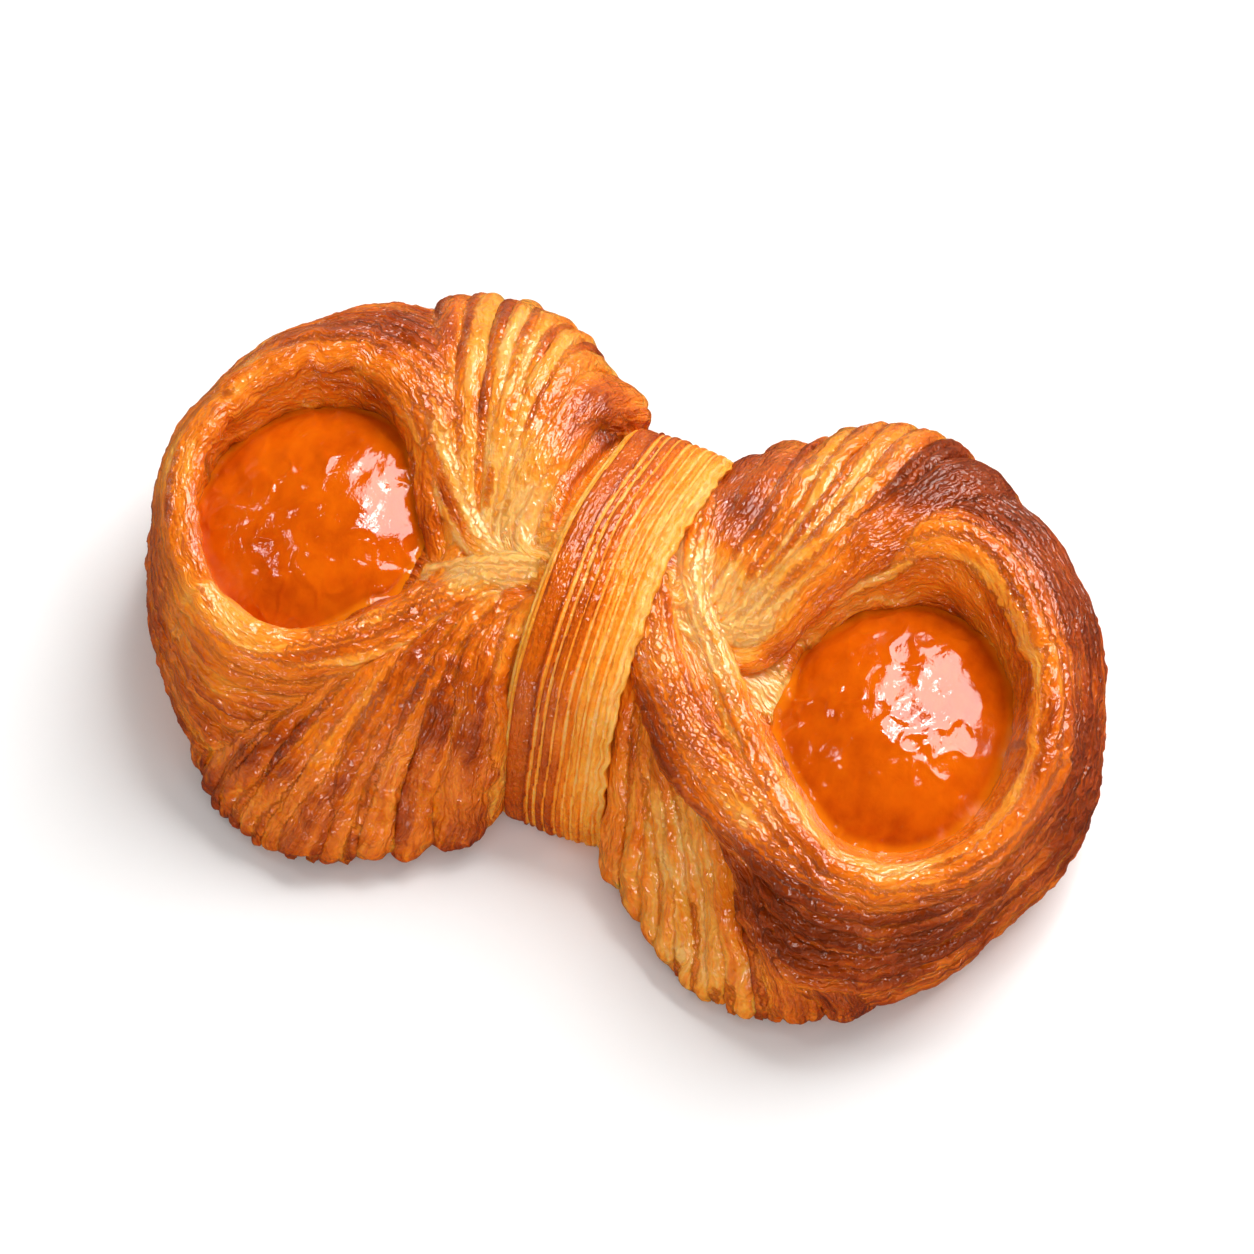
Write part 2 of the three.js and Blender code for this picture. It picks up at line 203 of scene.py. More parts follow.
def lobeForm(lobe):
    columns, rows = 180, 64
    angle = np.linspace(0, 2 * math.pi, columns, endpoint=False)
    outline, crest, top, inner, innerTop, drop = (
        aroundTurn(lobe[name], angle)
        for name in ("outline", "crest", "crestHeight", "inner", "innerHeight", "drop")
    )
    reach = outline - crest
    profile = [  # distance from the pocket's middle and height, from the base over the crest and in
        (outline * 0.86, np.full(columns, belowBase)),
        (outline * 0.93, np.full(columns, 1.0)),
        (outline * 0.99, np.full(columns, 7.0)),
        (outline, np.full(columns, 14.0)),
        (crest + 0.72 * reach, top - 1.35 * drop),
        (crest + 0.36 * reach, top - 0.35 * drop),
        (crest, top),
        (inner + 0.55 * (crest - inner), top - 0.9),
        (inner + 0.12 * (crest - inner), top - 3.8),
        (inner - 0.3, innerTop - 1),
        (inner * 0.965, innerTop - 5),
        (inner * 0.94, np.full(columns, 14.0)),
        (inner * 0.6, np.full(columns, 12.0)),
    ]
    grid = np.zeros((rows, columns, 3))
    across = np.zeros((rows, columns))
    for k in range(columns):
        line = smoothLine([(r[k], 0, h[k]) for r, h in profile], rows)
        grid[:, k, 0] = lobe["x"] + line[:, 0] * math.cos(angle[k])
        grid[:, k, 1] = line[:, 0] * math.sin(angle[k])
        grid[:, k, 2] = line[:, 2]
        length = lengthAlong(line)
        crestAt = np.argmin(np.hypot(line[:, 0] - crest[k], line[:, 2] - top[k]))
        across[:, k] = length - length[crestAt]
    turn = angle if lobe["x"] > 0 else (angle + math.pi) % (2 * math.pi)
    along = np.broadcast_to(turn * grainRadius, (rows, columns))
    return doughForm(grid, across, along, "lobe")


# The waist under the strip: one loop in the plane across the bow. It rests on the strip.

waist = {
    "loop": [(4, 0.1), (31, 0.3), (35.5, 8), (36, 18), (33, 28), (21, 34.5), (7, 37.5), (-6, 36),
             (-16.5, 30.5), (-22.5, 19), (-25, 6), (-21, 0.3)],
    "underStrip": 2.2,
    "halfLength": 30,
    "opens": (5, 22),       # how far along the bow it starts and ends widening
    "endSpread": 0.06,
    "endDrop": 8 / 36,
}


def waistLoop(count, shrink):
    loop = smoothLine([(y, 0, z) for y, z in waist["loop"]], count, closed=True)[:, [0, 2]]
    ahead = np.roll(loop, -1, axis=0) - np.roll(loop, 1, axis=0)
    outwards = unit(np.stack([-ahead[:, 1], ahead[:, 0]], axis=1))
    middle = loop.mean(axis=0)
    outwards *= np.sign(np.sum(outwards * (loop - middle), axis=1))[:, None]
    return loop - outwards * shrink


def waistForm():
    rows, columns = 61, 120
    loop = waistLoop(columns, waist["underStrip"])
    grid = np.zeros((rows, columns, 3))
    for k, x in enumerate(np.linspace(-waist["halfLength"], waist["halfLength"], rows)):
        outwards = smoothStep(abs(x), *waist["opens"])
        grid[k, :, 0] = x
        grid[k, :, 1] = bandCentreY + (loop[:, 0] - bandCentreY) * (1 + waist["endSpread"] * outwards)
        grid[k, :, 2] = loop[:, 1] * (1 - waist["endDrop"] * outwards)
    across = np.broadcast_to(lengthAlong(loop), (rows, columns))
    return doughForm(grid, across, grid[:, :, 0], "waist")


# Fans of pleats: guides run from the pinch beside a pocket to the outer edge.

fans = {
    "backLeft": {
        "guides": [
            [(-12, -2, 31), (-26, -2, 28), (-37, 12, 34), (-45, 25, 35.5),
             (-52, 36, 31), (-55, 43, 22), (-56, 44, 6)],
            [(-12, -1, 32), (-23, 0, 29.5), (-32, 15, 35), (-38, 28, 36.5),
             (-43, 41, 33), (-45, 50, 24), (-45, 52, 6)],
            [(-12, 1, 33), (-21, 3, 30.5), (-26, 19, 36), (-29, 33, 37),
             (-31, 45, 33.5), (-32, 52, 24), (-32, 54, 6)],
            [(-11, 2, 33.5), (-18, 5, 31.5), (-21, 20, 36), (-22, 32, 37),
             (-21, 42, 33), (-20, 48, 22), (-20, 48.5, 6)],
            [(-10, 3, 34), (-15, 6, 32.5), (-16.5, 19, 36), (-14.5, 31, 34),
             (-12.5, 37, 29), (-12, 41, 19), (-12, 41, 6)],
            [(-8, 4, 34.5), (-12, 7, 34.3), (-12, 18, 35.5), (-10, 28, 32),
             (-9, 34, 27), (-8.5, 37, 19), (-8.5, 37, 6)],
        ],
        "pleats": [0.45, 1, 1.42, 1.85, 2.25, 2.65, 3.1, 3.5, 3.95],
        "halfWidth": [1.2, 1.4, 2.6, 3.1, 3.1],
        "rise": [0.5, 0.9, 2.0, 2.6, 2.8],
        "tone": [0.52, 0.36, 0.14, 0.08, 0.12, 0.12, 0.18, 0.2, 0.26],
        "broad": (0.45, 3.5, 3.95),
    },
    "frontLeft": {
        "guides": [
            [(-14, -5, 30), (-30, -9, 28.5), (-40, -20, 26), (-50, -28, 20),
             (-57, -31, 11), (-59, -31, 3)],
            [(-13, -5, 31), (-26, -10, 30), (-34, -23, 28.5),
             (-42, -34, 22), (-48, -40, 12), (-50, -41, 3)],
            [(-12, -5, 31.5), (-22, -10, 30), (-29, -24, 27.5),
             (-34, -36, 19), (-39, -43.5, 9), (-40, -45, 3)],
            [(-11, -4, 32), (-19, -9, 31), (-24, -24, 27.5), (-28, -36, 18),
             (-30.5, -43, 8), (-31, -44.5, 3)],
            [(-10, -3, 33), (-15, -8, 31.8), (-17.5, -22, 28.2),
             (-18.5, -32, 18), (-19, -38, 8), (-19.5, -39.5, 3)],
            [(-6, -2, 34), (-9, -6, 33.6), (-8, -17, 30.5), (-7, -24, 20),
             (-6.5, -28, 8), (-6.5, -28.5, 3)],
        ],
        "pleats": [0.35, 0.8, 1.25, 1.65, 2.1, 2.45, 2.8, 3.15, 3.6, 4.05, 4.4, 4.75],
        "halfWidth": [1.2, 1.3, 2.0, 2.3, 2.3],
        "rise": [0.4, 0.7, 1.5, 2.2, 2.4],
        "tone": [0.5, 0.56, 0.5, 0.42, 0.32, 0.6, 0.64, 0.44, 0.38, 0.58, 0.56, 0.28],
        "broad": (0.35, 2.45, 4.05, 4.4),
    },
    "backRight": {
        "guides": [
            [(8, 3, 34.5), (10.5, 5, 34.5), (11, 15, 34.5), (11, 26, 33),
             (11, 35, 27), (11, 38, 18), (11, 38, 6)],
            [(9, 2, 34), (14, 4, 32.8), (17.5, 19, 35.5), (19, 33, 34),
             (20.5, 44, 27), (21, 48, 18), (21, 48, 6)],
            [(10, 1, 33.5), (17, 3, 32), (23, 18, 37), (26, 33, 37),
             (28, 46, 32), (29, 52, 22), (29, 53, 6)],
            [(11, 0, 33), (20, 2, 31.8), (28, 15, 38), (34, 29, 39),
             (38, 42, 37), (40, 51, 28), (41, 53, 6)],
            [(12, 0, 32), (24, 1, 31), (33, 15, 38), (43, 30, 39.5),
             (50, 40, 37), (54, 46, 26), (54, 47, 6)],
        ],
        "pleats": [0.3, 0.75, 1.2, 1.6, 2, 2.4, 2.8, 3.2, 3.65],
        "halfWidth": [1.2, 1.3, 2.0, 2.4, 2.4],
        "rise": [0.5, 0.9, 2.0, 2.6, 2.8],
        "tone": [0.5, 0.46, 0.4, 0.24, 0.2, 0.16, 0.2, 0.26, 0.7],
        "broad": (0.3, 0.75, 3.65),
    },
    "frontRight": {
        "guides": [
            [(6, 0, 35.5), (8, -4, 35.5), (10, -15, 29), (13, -24, 18), (15, -29.5, 8), (15, -30, 3)],
            [(7, 0, 35), (11, -6, 34.5), (16, -18, 28), (21, -29, 17), (25, -38, 8), (26, -39, 3)],
            [(8, 0, 34.5), (13, -8, 33.5), (21, -20, 28), (29, -31, 18), (34, -41, 9), (35, -43, 3)],
            [(9, 0, 34), (16, -9, 32.5), (27, -21, 28), (37, -33, 20), (43, -41.5, 10), (44, -43.5, 3)],
            [(10, 0, 33), (22, -12, 31), (36, -25, 28), (47, -34, 21), (54, -37, 11), (56, -37, 3)],
            [(12, 0, 32), (28, -14, 29), (42, -26, 26), (54, -32, 19), (61, -33, 11), (63, -33, 3)],
        ],
        "pleats": [0.2, 0.6, 0.95, 1.3, 1.65, 2.0, 2.35, 2.75, 3.2, 3.7, 4.3],
        "halfWidth": [1.2, 1.3, 1.8, 2.2, 2.2],
        "rise": [0.4, 0.7, 1.5, 2.2, 2.4],
        "tone": [0.34, 0.24, 0.17, 0.1, 0.06, 0.08, 0.13, 0.22, 0.42, 0.62, 0.72],
        "broad": (3.7, 4.3),
    },
}


def betweenGuides(guides, place):
    k = int(min(math.floor(place), len(guides) - 2))
    four = (guides[min(max(k + shift, 0), len(guides) - 1)] for shift in (-1, 0, 1, 2))
    return curveBetween(*four, place - k)


def sideways(line):  # the level direction across a line, steady where the line turns down
    ahead = np.gradient(line, axis=0)
    flat = ahead[:, :2].copy()
    share = np.linalg.norm(flat, axis=1) / np.linalg.norm(ahead, axis=1)
    for k in range(1, len(flat)):
        if share[k] < 0.45:
            flat[k] = flat[k - 1]
    flat = unit(flat)
    return np.stack([flat[:, 1], -flat[:, 0], np.zeros(len(flat))], axis=1)


ridge = {
    "startTaper": 0.06,   # shares of its length
    "endTaper": 0.03,
    "depth": 1.6,         # how deep it sits, for its rise
    "knots": 0.3,
    "knotSize": 0.16,
}


def ridgeForm(line, halfWidth, rise, kind, tone, sides=20, upwards=None):
    count = len(line)
    ahead = unit(np.gradient(line, axis=0))
    side = sideways(line) if upwards is None else unit(np.cross(ahead, upwards))
    up = unit(np.cross(side, ahead))
    t = np.linspace(0, 1, count)
    ends = np.minimum(t / ridge["startTaper"], (1 - t) / ridge["endTaper"])
    taper = np.sqrt(np.clip(ends, 0.05, 1))
    knots = 1 + ridge["knots"] * noise3(line * ridge["knotSize"] + tone * 11, 45)
    width = spread(halfWidth, count) * taper * knots
    height = spread(rise, count) * taper * ridge["depth"] * knots
    turn = np.linspace(0, 2 * math.pi, sides, endpoint=False) - math.pi / 2
    middle = line - up * height[:, None]
    grid = (
        middle[:, None]
        + side[:, None] * (width[:, None] * np.cos(turn)[None])[..., None]
        + up[:, None] * (height[:, None] * np.sin(turn)[None])[..., None]
    )
    across = (turn[None] - math.pi / 2) * width[:, None]
    along = np.broadcast_to(lengthAlong(line)[:, None], across.shape)
    return doughForm(grid, across, along, kind, tone)


fanDetail = {
    "rows": 40,
    "slabColumns": 33,
    "slabSink": [0.8, 1.6, 2.6],            # how far under the pleats' crests the slab lies
    "pleatWander": (1.3, 1.3, 0.9),
    "uneven": 0.3,
    "broaden": 1.9,
    "edges": ((-0.15, 0.35), (-0.21, 0.85)),  # each thin ply's place beside its pleat, and its drop
    "edgeWander": (0.5, 0.5, 0.3),
    "edgeWidth": [0.4, 0.5, 0.45],
    "edgeRise": [0.5, 0.6, 0.6],
    "edgeTone": 0.54,
}


def slabForm(guides):  # the dough under the pleats, from the first guide to the last
    columns = fanDetail["slabColumns"]
    sheet = np.array([betweenGuides(guides, p) for p in np.linspace(0, len(guides) - 1, columns)])
    sheet = sheet.transpose(1, 0, 2)
    outwards = unit(np.cross(np.gradient(sheet, axis=1), np.gradient(sheet, axis=0)))
    outwards *= np.sign(outwards[:20, :, 2].mean())
    sink = np.interp(np.linspace(0, 1, len(sheet)), [0, 0.3, 1], fanDetail["slabSink"])
    sheet = sheet - outwards * sink[:, None, None]
    foot = sheet[:, ::-1].copy()
    foot[:, :, 2] = belowBase
    slab = np.concatenate([sheet, foot], axis=1)
    across = np.zeros(slab.shape[:2])
    across[:, 1:] = np.cumsum(np.linalg.norm(np.diff(slab, axis=1), axis=2), axis=1)
    length = np.cumsum(np.linalg.norm(np.gradient(slab[:, columns // 2], axis=0), axis=1))
    return doughForm(slab, across, np.broadcast_to(length[:, None], across.shape), "slab")


def fanForms(fan):
    guides = np.array([smoothLine(g, fanDetail["rows"]) for g in fan["guides"]])
    made = [slabForm(guides)]
    for place, tone in zip(fan["pleats"], fan["tone"]):
        line = smoothLine(betweenGuides(guides, place), 60)
        line = line + drift(line * 0.075 + place * 7.3, (1, 2, 3)) * fanDetail["pleatWander"]
        width = np.array(fan["halfWidth"]) * (1 + fanDetail["uneven"] * math.sin(place * 9.1))
        if place in fan["broad"]:
            width = width * fanDetail["broaden"]
        made.append(ridgeForm(line, width, fan["rise"], "pleat", tone))
    for place in fan["pleats"][1:]:
        if place in fan["broad"]:
            continue
        for offset, drop in fanDetail["edges"]:
            line = smoothLine(betweenGuides(guides, place + offset), 70)
            line = line + drift(line * 0.11 + place * 5.9, (4, 5, 6)) * fanDetail["edgeWander"]
            line[:, 2] -= drop * np.linspace(0.4, 1, len(line))
            made.append(ridgeForm(line, fanDetail["edgeWidth"], fanDetail["edgeRise"], "edge",
                                  fanDetail["edgeTone"], sides=12))
    return made


# Folds that cross the fans, and the rolled rims round the pockets.

folds = {
    "frontBundle": {
        "line": [(3, 10, 35), (7, 2, 35.5), (12, -7, 34.5), (21, -16, 32), (32, -23, 31.5),
                 (43, -29, 30), (53, -31, 29)],
        "halfWidth": [2.5, 3.5, 4.6, 5.4, 4.8, 2.5], "rise": [1, 1.5, 2, 2, 1.6, 1],
        "tone": 0.54, "strands": 13,
    },
    "paleStrand": {
        "line": [(8, 34, 26), (9, 22, 33.8), (10.5, 12, 35), (14, 4, 34), (18.5, -1, 32.6),
                 (23.5, -6.5, 31.8), (29, -13, 31.6), (36, -20.5, 31.2), (43, -26, 30.6)],
        "halfWidth": [1.2, 2, 2, 2.2, 2.4, 2.2, 1.6], "rise": [0.9, 1.2, 1.2, 1], "tone": 0.1, "strands": 4,
    },
    "backLeftFold": {
        "line": [(-3, 4, 31), (-11, 3, 31.3), (-18, 1.5, 31.3), (-24, 5, 32), (-31, 12, 34.5),
                 (-38, 20, 36.8), (-47, 26, 37.5), (-57, 25, 37)],
        "halfWidth": [1.2, 1.8, 2.4, 2.8, 3.0, 2.4], "rise": [0.6, 1, 1.4, 1.6, 1.6, 1],
        "tone": 0.26, "strands": 5,
    },
    "frontLeftFold": {
        "line": [(-3, 1, 32), (-11, -0.5, 31.8), (-18, -2.5, 31.6), (-25, -9.5, 31.5), (-34, -19.5, 31.2),
                 (-45, -25.5, 31.3), (-57, -22.5, 32)],
        "halfWidth": [1.6, 2.6, 3.4, 3.4, 2.4], "rise": [0.6, 1, 1.6, 1.6, 1], "tone": 0.34, "strands": 6,
    },
    "backRightFold": {
        "line": [(3, 5, 32), (10, 3, 32), (18, 2, 31.8), (26, 6.5, 33.5), (35, 19, 37),
                 (46, 28, 39.2), (58, 24, 39.6), (67, 14, 37.6)],
        "halfWidth": [1.4, 1.8, 2.4, 3.2, 3.2, 2], "rise": [0.7, 1, 1.5, 1.8, 1.6, 1],
        "tone": 0.24, "strands": 6,
    },
    "pinchLeft": {
        "line": [(-4, 3, 33), (-14, 0, 33), (-22, -2, 31), (-28, -4, 28)],
        "halfWidth": [3, 3.6, 3, 2], "rise": [1.5, 1.6, 1.6, 1.2], "tone": 0.06, "strands": 4,
    },
    "openingFloor": {
        "line": [(12, 0, 31), (19, 0.5, 30), (25, -1, 28.6), (33, -3, 26.4)],
        "halfWidth": [3, 5, 6, 6], "rise": [2, 2, 2, 2], "tone": -0.1, "strands": 0,
    },
}


def foldForms(fold, seed):  # one broad ridge with thin strands along it
    count = 70
    line = smoothLine(fold["line"], count)
    made = [ridgeForm(line, fold["halfWidth"], fold["rise"], "fold", fold["tone"], sides=28)]
    draw = np.random.default_rng(seed)
    side = sideways(line)
    width, rise = spread(fold["halfWidth"], count), spread(fold["rise"], count)
    for place in np.linspace(-0.85, 0.85, fold["strands"]):
        place = place + draw.uniform(-0.08, 0.08)
        spot = np.stack([line[:, 0] * 0.07, np.full(count, place * 9), np.zeros(count)], axis=1)
        swing = place + 0.12 * noise3(spot, seed)
        drop = ridge["depth"] * rise * (1 - np.sqrt(np.clip(1 - swing ** 2, 0, 1)))
        strand = line + side * (swing * width)[:, None]
        strand[:, 2] += 0.25 - drop
        size = draw.uniform(0.5, 0.95)
        made.append(ridgeForm(strand, [size, size * 1.1, size], [size * 0.8] * 2, "strand",
                              fold["tone"] + draw.uniform(-0.3, 0.25), sides=12))
    return made


# Rolls of dough that lie along a lobe. Offset is how far inside the crest each one runs; angles go
# anticlockwise from the pinch beside the strip.
# offset, half width, rise, tone, first angle, last angle, wander
rolls = {
    "left": [
        (0.6, 2.6, 0.9, 0.30, 12, 346, 0.5),
        (-3.4, 1.7, 1.2, 0.40, 20, 350, 0.7),
        (-6.4, 1.6, 1.2, 0.50, 36, 322, 1.0),
        (-9.2, 1.7, 1.5, 0.42, 50, 300, 1.4),
        (-12.2, 1.5, 1.4, 0.56, 66, 290, 1.6),
        (-15.0, 1.7, 1.6, 0.46, 80, 300, 1.6),
        (-18.0, 1.6, 1.4, 0.56, 60, 276, 1.8),
        (-21.0, 1.8, 1.6, 0.48, 72, 292, 1.6),
        (-24.5, 1.6, 1.4, 0.58, 64, 300, 1.4),
    ],
    "right": [
        (2.6, 1.8, 0.8, 0.20, 30, 330, 0.5),
        (0.2, 1.4, 1.2, 0.34, 14, 350, 0.5),
        (-2.2, 1.2, 1.2, 0.44, 16, 346, 0.6),
        (-5.4, 1.2, 1.4, 0.62, 22, 350, 0.7),
        (-7.8, 1.2, 1.3, 0.50, 30, 338, 0.9),
        (-10.4, 1.4, 1.5, 0.70, 62, 320, 1.2),
        (-13.4, 1.5, 1.5, 0.56, 76, 306, 1.6),
        (-16.6, 1.6, 1.6, 0.68, 60, 300, 1.8),
        (-20.0, 1.5, 1.5, 0.58, 74, 296, 1.8),
        (-23.4, 1.7, 1.5, 0.66, 66, 300, 1.6),
        (-27.0, 1.6, 1.4, 0.60, 80, 290, 1.4),
    ],
}


def alongLobe(form, angle, reach, pinch):
    columns = form["grid"].shape[1]
    outwards = unit(np.cross(form["columnStep"], form["rowStep"]))
    place = ((angle + pinch) / 360 * columns) % columns
    line = np.zeros((len(angle), 3))
    upwards = np.zeros((len(angle), 3))
    for k in range(len(angle)):
        low = int(place[k]) % columns
        high, t = (low + 1) % columns, place[k] - int(place[k])
        for column, share in ((low, 1 - t), (high, t)):
            row = np.interp(reach[k], form["across"][:, column], np.arange(len(form["across"])))
            r = int(min(row, len(form["across"]) - 2))
            here, following = form["grid"][r, column], form["grid"][r + 1, column]
            line[k] += share * (here * (1 - row + r) + following * (row - r))
            upwards[k] += share * outwards[r, column]
    return line, unit(upwards)


def rollForms(form, settings, pinch, seed):
    made = []
    count = 120
    for n, (offset, halfWidth, rise, tone, start, end, wander) in enumerate(settings):
        angle = np.linspace(start, end, count)
        spot = np.stack([angle / 38, np.full(count, n * 3.3), np.zeros(count)], axis=1)
        reach = offset + wander * noise3(spot, seed)
        line, upwards = alongLobe(form, angle, reach, pinch)
        line = line + upwards * (0.35 * rise + 0.3 * noise3(spot * 2.3, seed + 5))[:, None]
        widths = halfWidth * (1 + 0.25 * noise3(spot * [1.7, 1, 1], seed + 9))
        made.append(ridgeForm(line, widths, [rise * 0.8, rise, rise, rise * 0.8], "roll", tone,
                              sides=18, upwards=upwards))
    return made


# From forms to one skin of dough.

dough = {
    "voxel": 0.38,       # millimetres
    "reach": 6,          # voxels kept each side of the surface
    "low": (-84, -54, -3),   # the space the cells fill
    "high": (84, 62, 45),
    "blendBodies": 3.0,  # how softly the big forms run into each other
    "blendSlabs": 1.5,
    "blendRidges": 0.5,
    "blendFolds": 1.2,
    "blendStrands": 0.6,
    "blendPockets": 0.8,
    "fruitGap": 0.1,     # between the fruit and its pocket
    "baseRound": 2.2,
}


def softMin(a, b, k):
    h = np.clip(1 - np.abs(a - b) / k, 0, 1)
    return np.minimum(a, b) - h * h * k * 0.25


voxel = dough["voxel"]
far = voxel * dough["reach"]
lowCell = np.floor(np.array(dough["low"]) / voxel).astype(int)
highCell = np.ceil(np.array(dough["high"]) / voxel).astype(int)
field = np.full(highCell - lowCell, far, np.float32)
voxelTransform = openvdb.createLinearTransform(voxelSize=voxel)
forms = []
nearestForm = np.zeros(field.shape, np.int16)     # which form lies outermost in each cell
nearestDistance = np.full(field.shape, far, np.float32)


def levelSet(form):
    grid = openvdb.FloatGrid.createLevelSetFromPolygons(
        form["points"].astype(np.float32),
        triangles=form["caps"].astype(np.uint32),
        quads=form["quads"].astype(np.uint32),
        transform=voxelTransform,
        halfWidth=float(dough["reach"]),
    )
    low, high = (np.array(c) for c in grid.evalActiveVoxelBoundingBox())
    low, high = np.maximum(low, lowCell), np.minimum(high, highCell - 1)
    values = np.zeros(high - low + 1, np.float32)
    grid.copyToArray(values, ijk=tuple(int(v) for v in low))
    region = tuple(slice(a, b) for a, b in zip(low - lowCell, high - lowCell + 1))
    return region, values


def addForm(form, blend):
    region, values = levelSet(form)
    here = field[region]
    near = values < far * 0.98
    here[near] = softMin(here[near], values[near], blend)
    closer = values < nearestDistance[region]
    nearestDistance[region][closer] = values[closer]
    nearestForm[region][closer] = len(forms)
    forms.append(form)


def cutForm(form, blend, gap):
    region, values = levelSet(form)
    here = field[region]
    near = values - gap < far * 0.9
    here[near] = -softMin(-here[near], values[near] - gap, blend)


# The apricot halves.

fruit = {
    "halfWidth": {"left": 21, "right": 19.8},
    "halfLength": {"left": 23.6, "right": 24.2},
    "rimHeight": 17,
    # share of the half width, and height, from underneath over the collar of glaze to the top
    "profile": [(0.3, -1.5), (0.7, -1.5), (0.97, -1.3), (1.06, 0.5), (1.07, 5.2), (1.05, 7.0),
                (1.015, 7.7), (0.975, 8.2), (0.93, 9.2), (0.85, 10.8), (0.74, 12.3), (0.59, 13.6),
                (0.41, 14.5), (0.2, 14.95), (0.02, 15)],
    "tilt": {"left": 6, "right": 1},
    "lumps": 0.6,
    "lumpSize": 13,
    "wrinkles": 0.25,
    "wrinkleSize": (4.2, 6.5, 5),
    "creases": 0.26,
    "creaseSize": (3.6, 4.6, 4),
    "glazeClimb": 0.9,   # how far the glaze climbs where it meets the dough
    "glazeReach": 1.3,
}


def fruitGrid(side, rough=True):
    rows, columns = 150, 400
    turn = np.linspace(0, 2 * math.pi, columns, endpoint=False)
    name = "left" if side < 0 else "right"
    halfWidth, halfLength = fruit["halfWidth"][name], fruit["halfLength"][name]
    profile = smoothLine([(r * halfWidth, 0, h) for r, h in fruit["profile"]], rows)
    radius, height = profile[:, 0] / halfWidth, profile[:, 2]
    grid = np.stack([
        radius[:, None] * np.cos(turn)[None] * halfWidth,
        radius[:, None] * np.sin(turn)[None] * halfLength,
        np.broadcast_to(height[:, None], (rows, columns)),
    ], axis=-1)
    flat = grid.reshape(-1, 3)
    if rough:
        seed = 5 if side < 0 else 9
        top = smoothStep(flat[:, 2], 7.5, 10)
        push = fruit["lumps"] * noise3(flat / fruit["lumpSize"], seed)
        bent = flat + 1.5 * drift(flat / 5, (seed + 7, seed + 8, seed + 9))
        push = push + fruit["wrinkles"] * layeredNoise(flat / fruit["wrinkleSize"], 2, seed + 3)
        creases = np.clip(1 - 4 * np.abs(noise3(bent / fruit["creaseSize"], seed + 4)), 0, 1)
        push = push + fruit["creases"] * creases * smoothStep(noise3(flat / 8, seed + 6), -0.25, 0.3)
        away = unit(flat - [0, 0, -6])
        flat = flat + away * (push * top - fruit["lumps"] * 0.3)[:, None]
    tilt = math.radians(fruit["tilt"][name])
    y = flat[:, 1] * math.cos(tilt) - flat[:, 2] * math.sin(tilt)
    z = flat[:, 1] * math.sin(tilt) + flat[:, 2] * math.cos(tilt)
    placed = np.stack([flat[:, 0] + side * pocketX, y, z + fruit["rimHeight"]], axis=1)
    return placed.reshape(grid.shape)


def plainForm(grid):
    flat = np.zeros(grid.shape[:2])
    return doughForm(grid, flat, flat, "cutter")


bodies = [lobeForm(lobes["left"]), lobeForm(lobes["right"]), waistForm()]
for body in bodies:
    addForm(body, dough["blendBodies"])
for body, name, pinch, seed in ((bodies[0], "left", 0, 3), (bodies[1], "right", 180, 8)):
    for made in rollForms(body, rolls[name], pinch, seed):
        addForm(made, dough["blendRidges"])
for fan in fans.values():
    slab, *pleats = fanForms(fan)
    addForm(slab, dough["blendSlabs"])
    for form in pleats:
        addForm(form, dough["blendRidges"])
for seed, fold in enumerate(folds.values()):
    for made in foldForms(fold, seed + 20):
        addForm(made, dough["blendFolds"] if made["kind"] == "fold" else dough["blendStrands"])
for side in (-1, 1):
    cutForm(plainForm(fruitGrid(side, rough=False)), dough["blendPockets"], dough["fruitGap"])


def doughDistance(points):  # how far each point lies outside the dough, read between the cells
    place = np.clip(points / voxel - lowCell, 0, np.array(field.shape) - 1.001)
    cell = place.astype(int)
    t = place - cell
    total = np.zeros(len(points))
    for step in cubeCorners:
        share = np.prod(np.where(step == 1, t, 1 - t), axis=1)
        total += share * field[tuple((cell + step).T)]
    return total


def glazedFruit(side):
    grid = fruitGrid(side)
    flat = grid.reshape(-1, 3)
    onTop = smoothStep(flat[:, 2], fruit["rimHeight"] + 5, fruit["rimHeight"] + 7)
    climb = 1 - smoothStep(doughDistance(flat), 0, fruit["glazeReach"])
    away = unit(flat - [side * pocketX, 0, fruit["rimHeight"] - 6])
    return (flat + away * (fruit["glazeClimb"] * climb * onTop)[:, None]).reshape(grid.shape)


# the flat base, with a rounded edge
heights = (np.arange(field.shape[2]) + lowCell[2]) * voxel
below = np.broadcast_to(-heights[None, None].astype(np.float32), field.shape)
field = -softMin(-field, -below, dough["baseRound"])
field = np.clip(field, -far, far)
print("dough forms joined:", len(forms), "grid", field.shape)

skinGrid = openvdb.FloatGrid(far)
skinGrid.transform = voxelTransform
skinGrid.copyFromArray(field, ijk=tuple(int(v) for v in lowCell))
skinPoints, skinQuads = skinGrid.convertToQuads(0.0)
skinPoints = np.array(skinPoints, float)
skinQuads = np.array(skinQuads, int)


def largestPiece(points, quads):  # drops any small bubble left inside
    label = np.arange(len(points))
    edges = np.vstack([quads[:, [0, 1]], quads[:, [1, 2]], quads[:, [2, 3]], quads[:, [3, 0]]])
    while True:
        low = np.minimum(label[edges[:, 0]], label[edges[:, 1]])
        fresh = label.copy()
        np.minimum.at(fresh, edges[:, 0], low)
        np.minimum.at(fresh, edges[:, 1], low)
        fresh = fresh[fresh]
        if np.array_equal(fresh, label):
            break
        label = fresh
    names, counts = np.unique(label, return_counts=True)
    keep = label == names[np.argmax(counts)]
    renumber = np.cumsum(keep) - 1
    wanted = keep[quads].all(axis=1)
    return points[keep], renumber[quads[wanted]]


skinPoints, skinQuads = largestPiece(skinPoints, skinQuads)


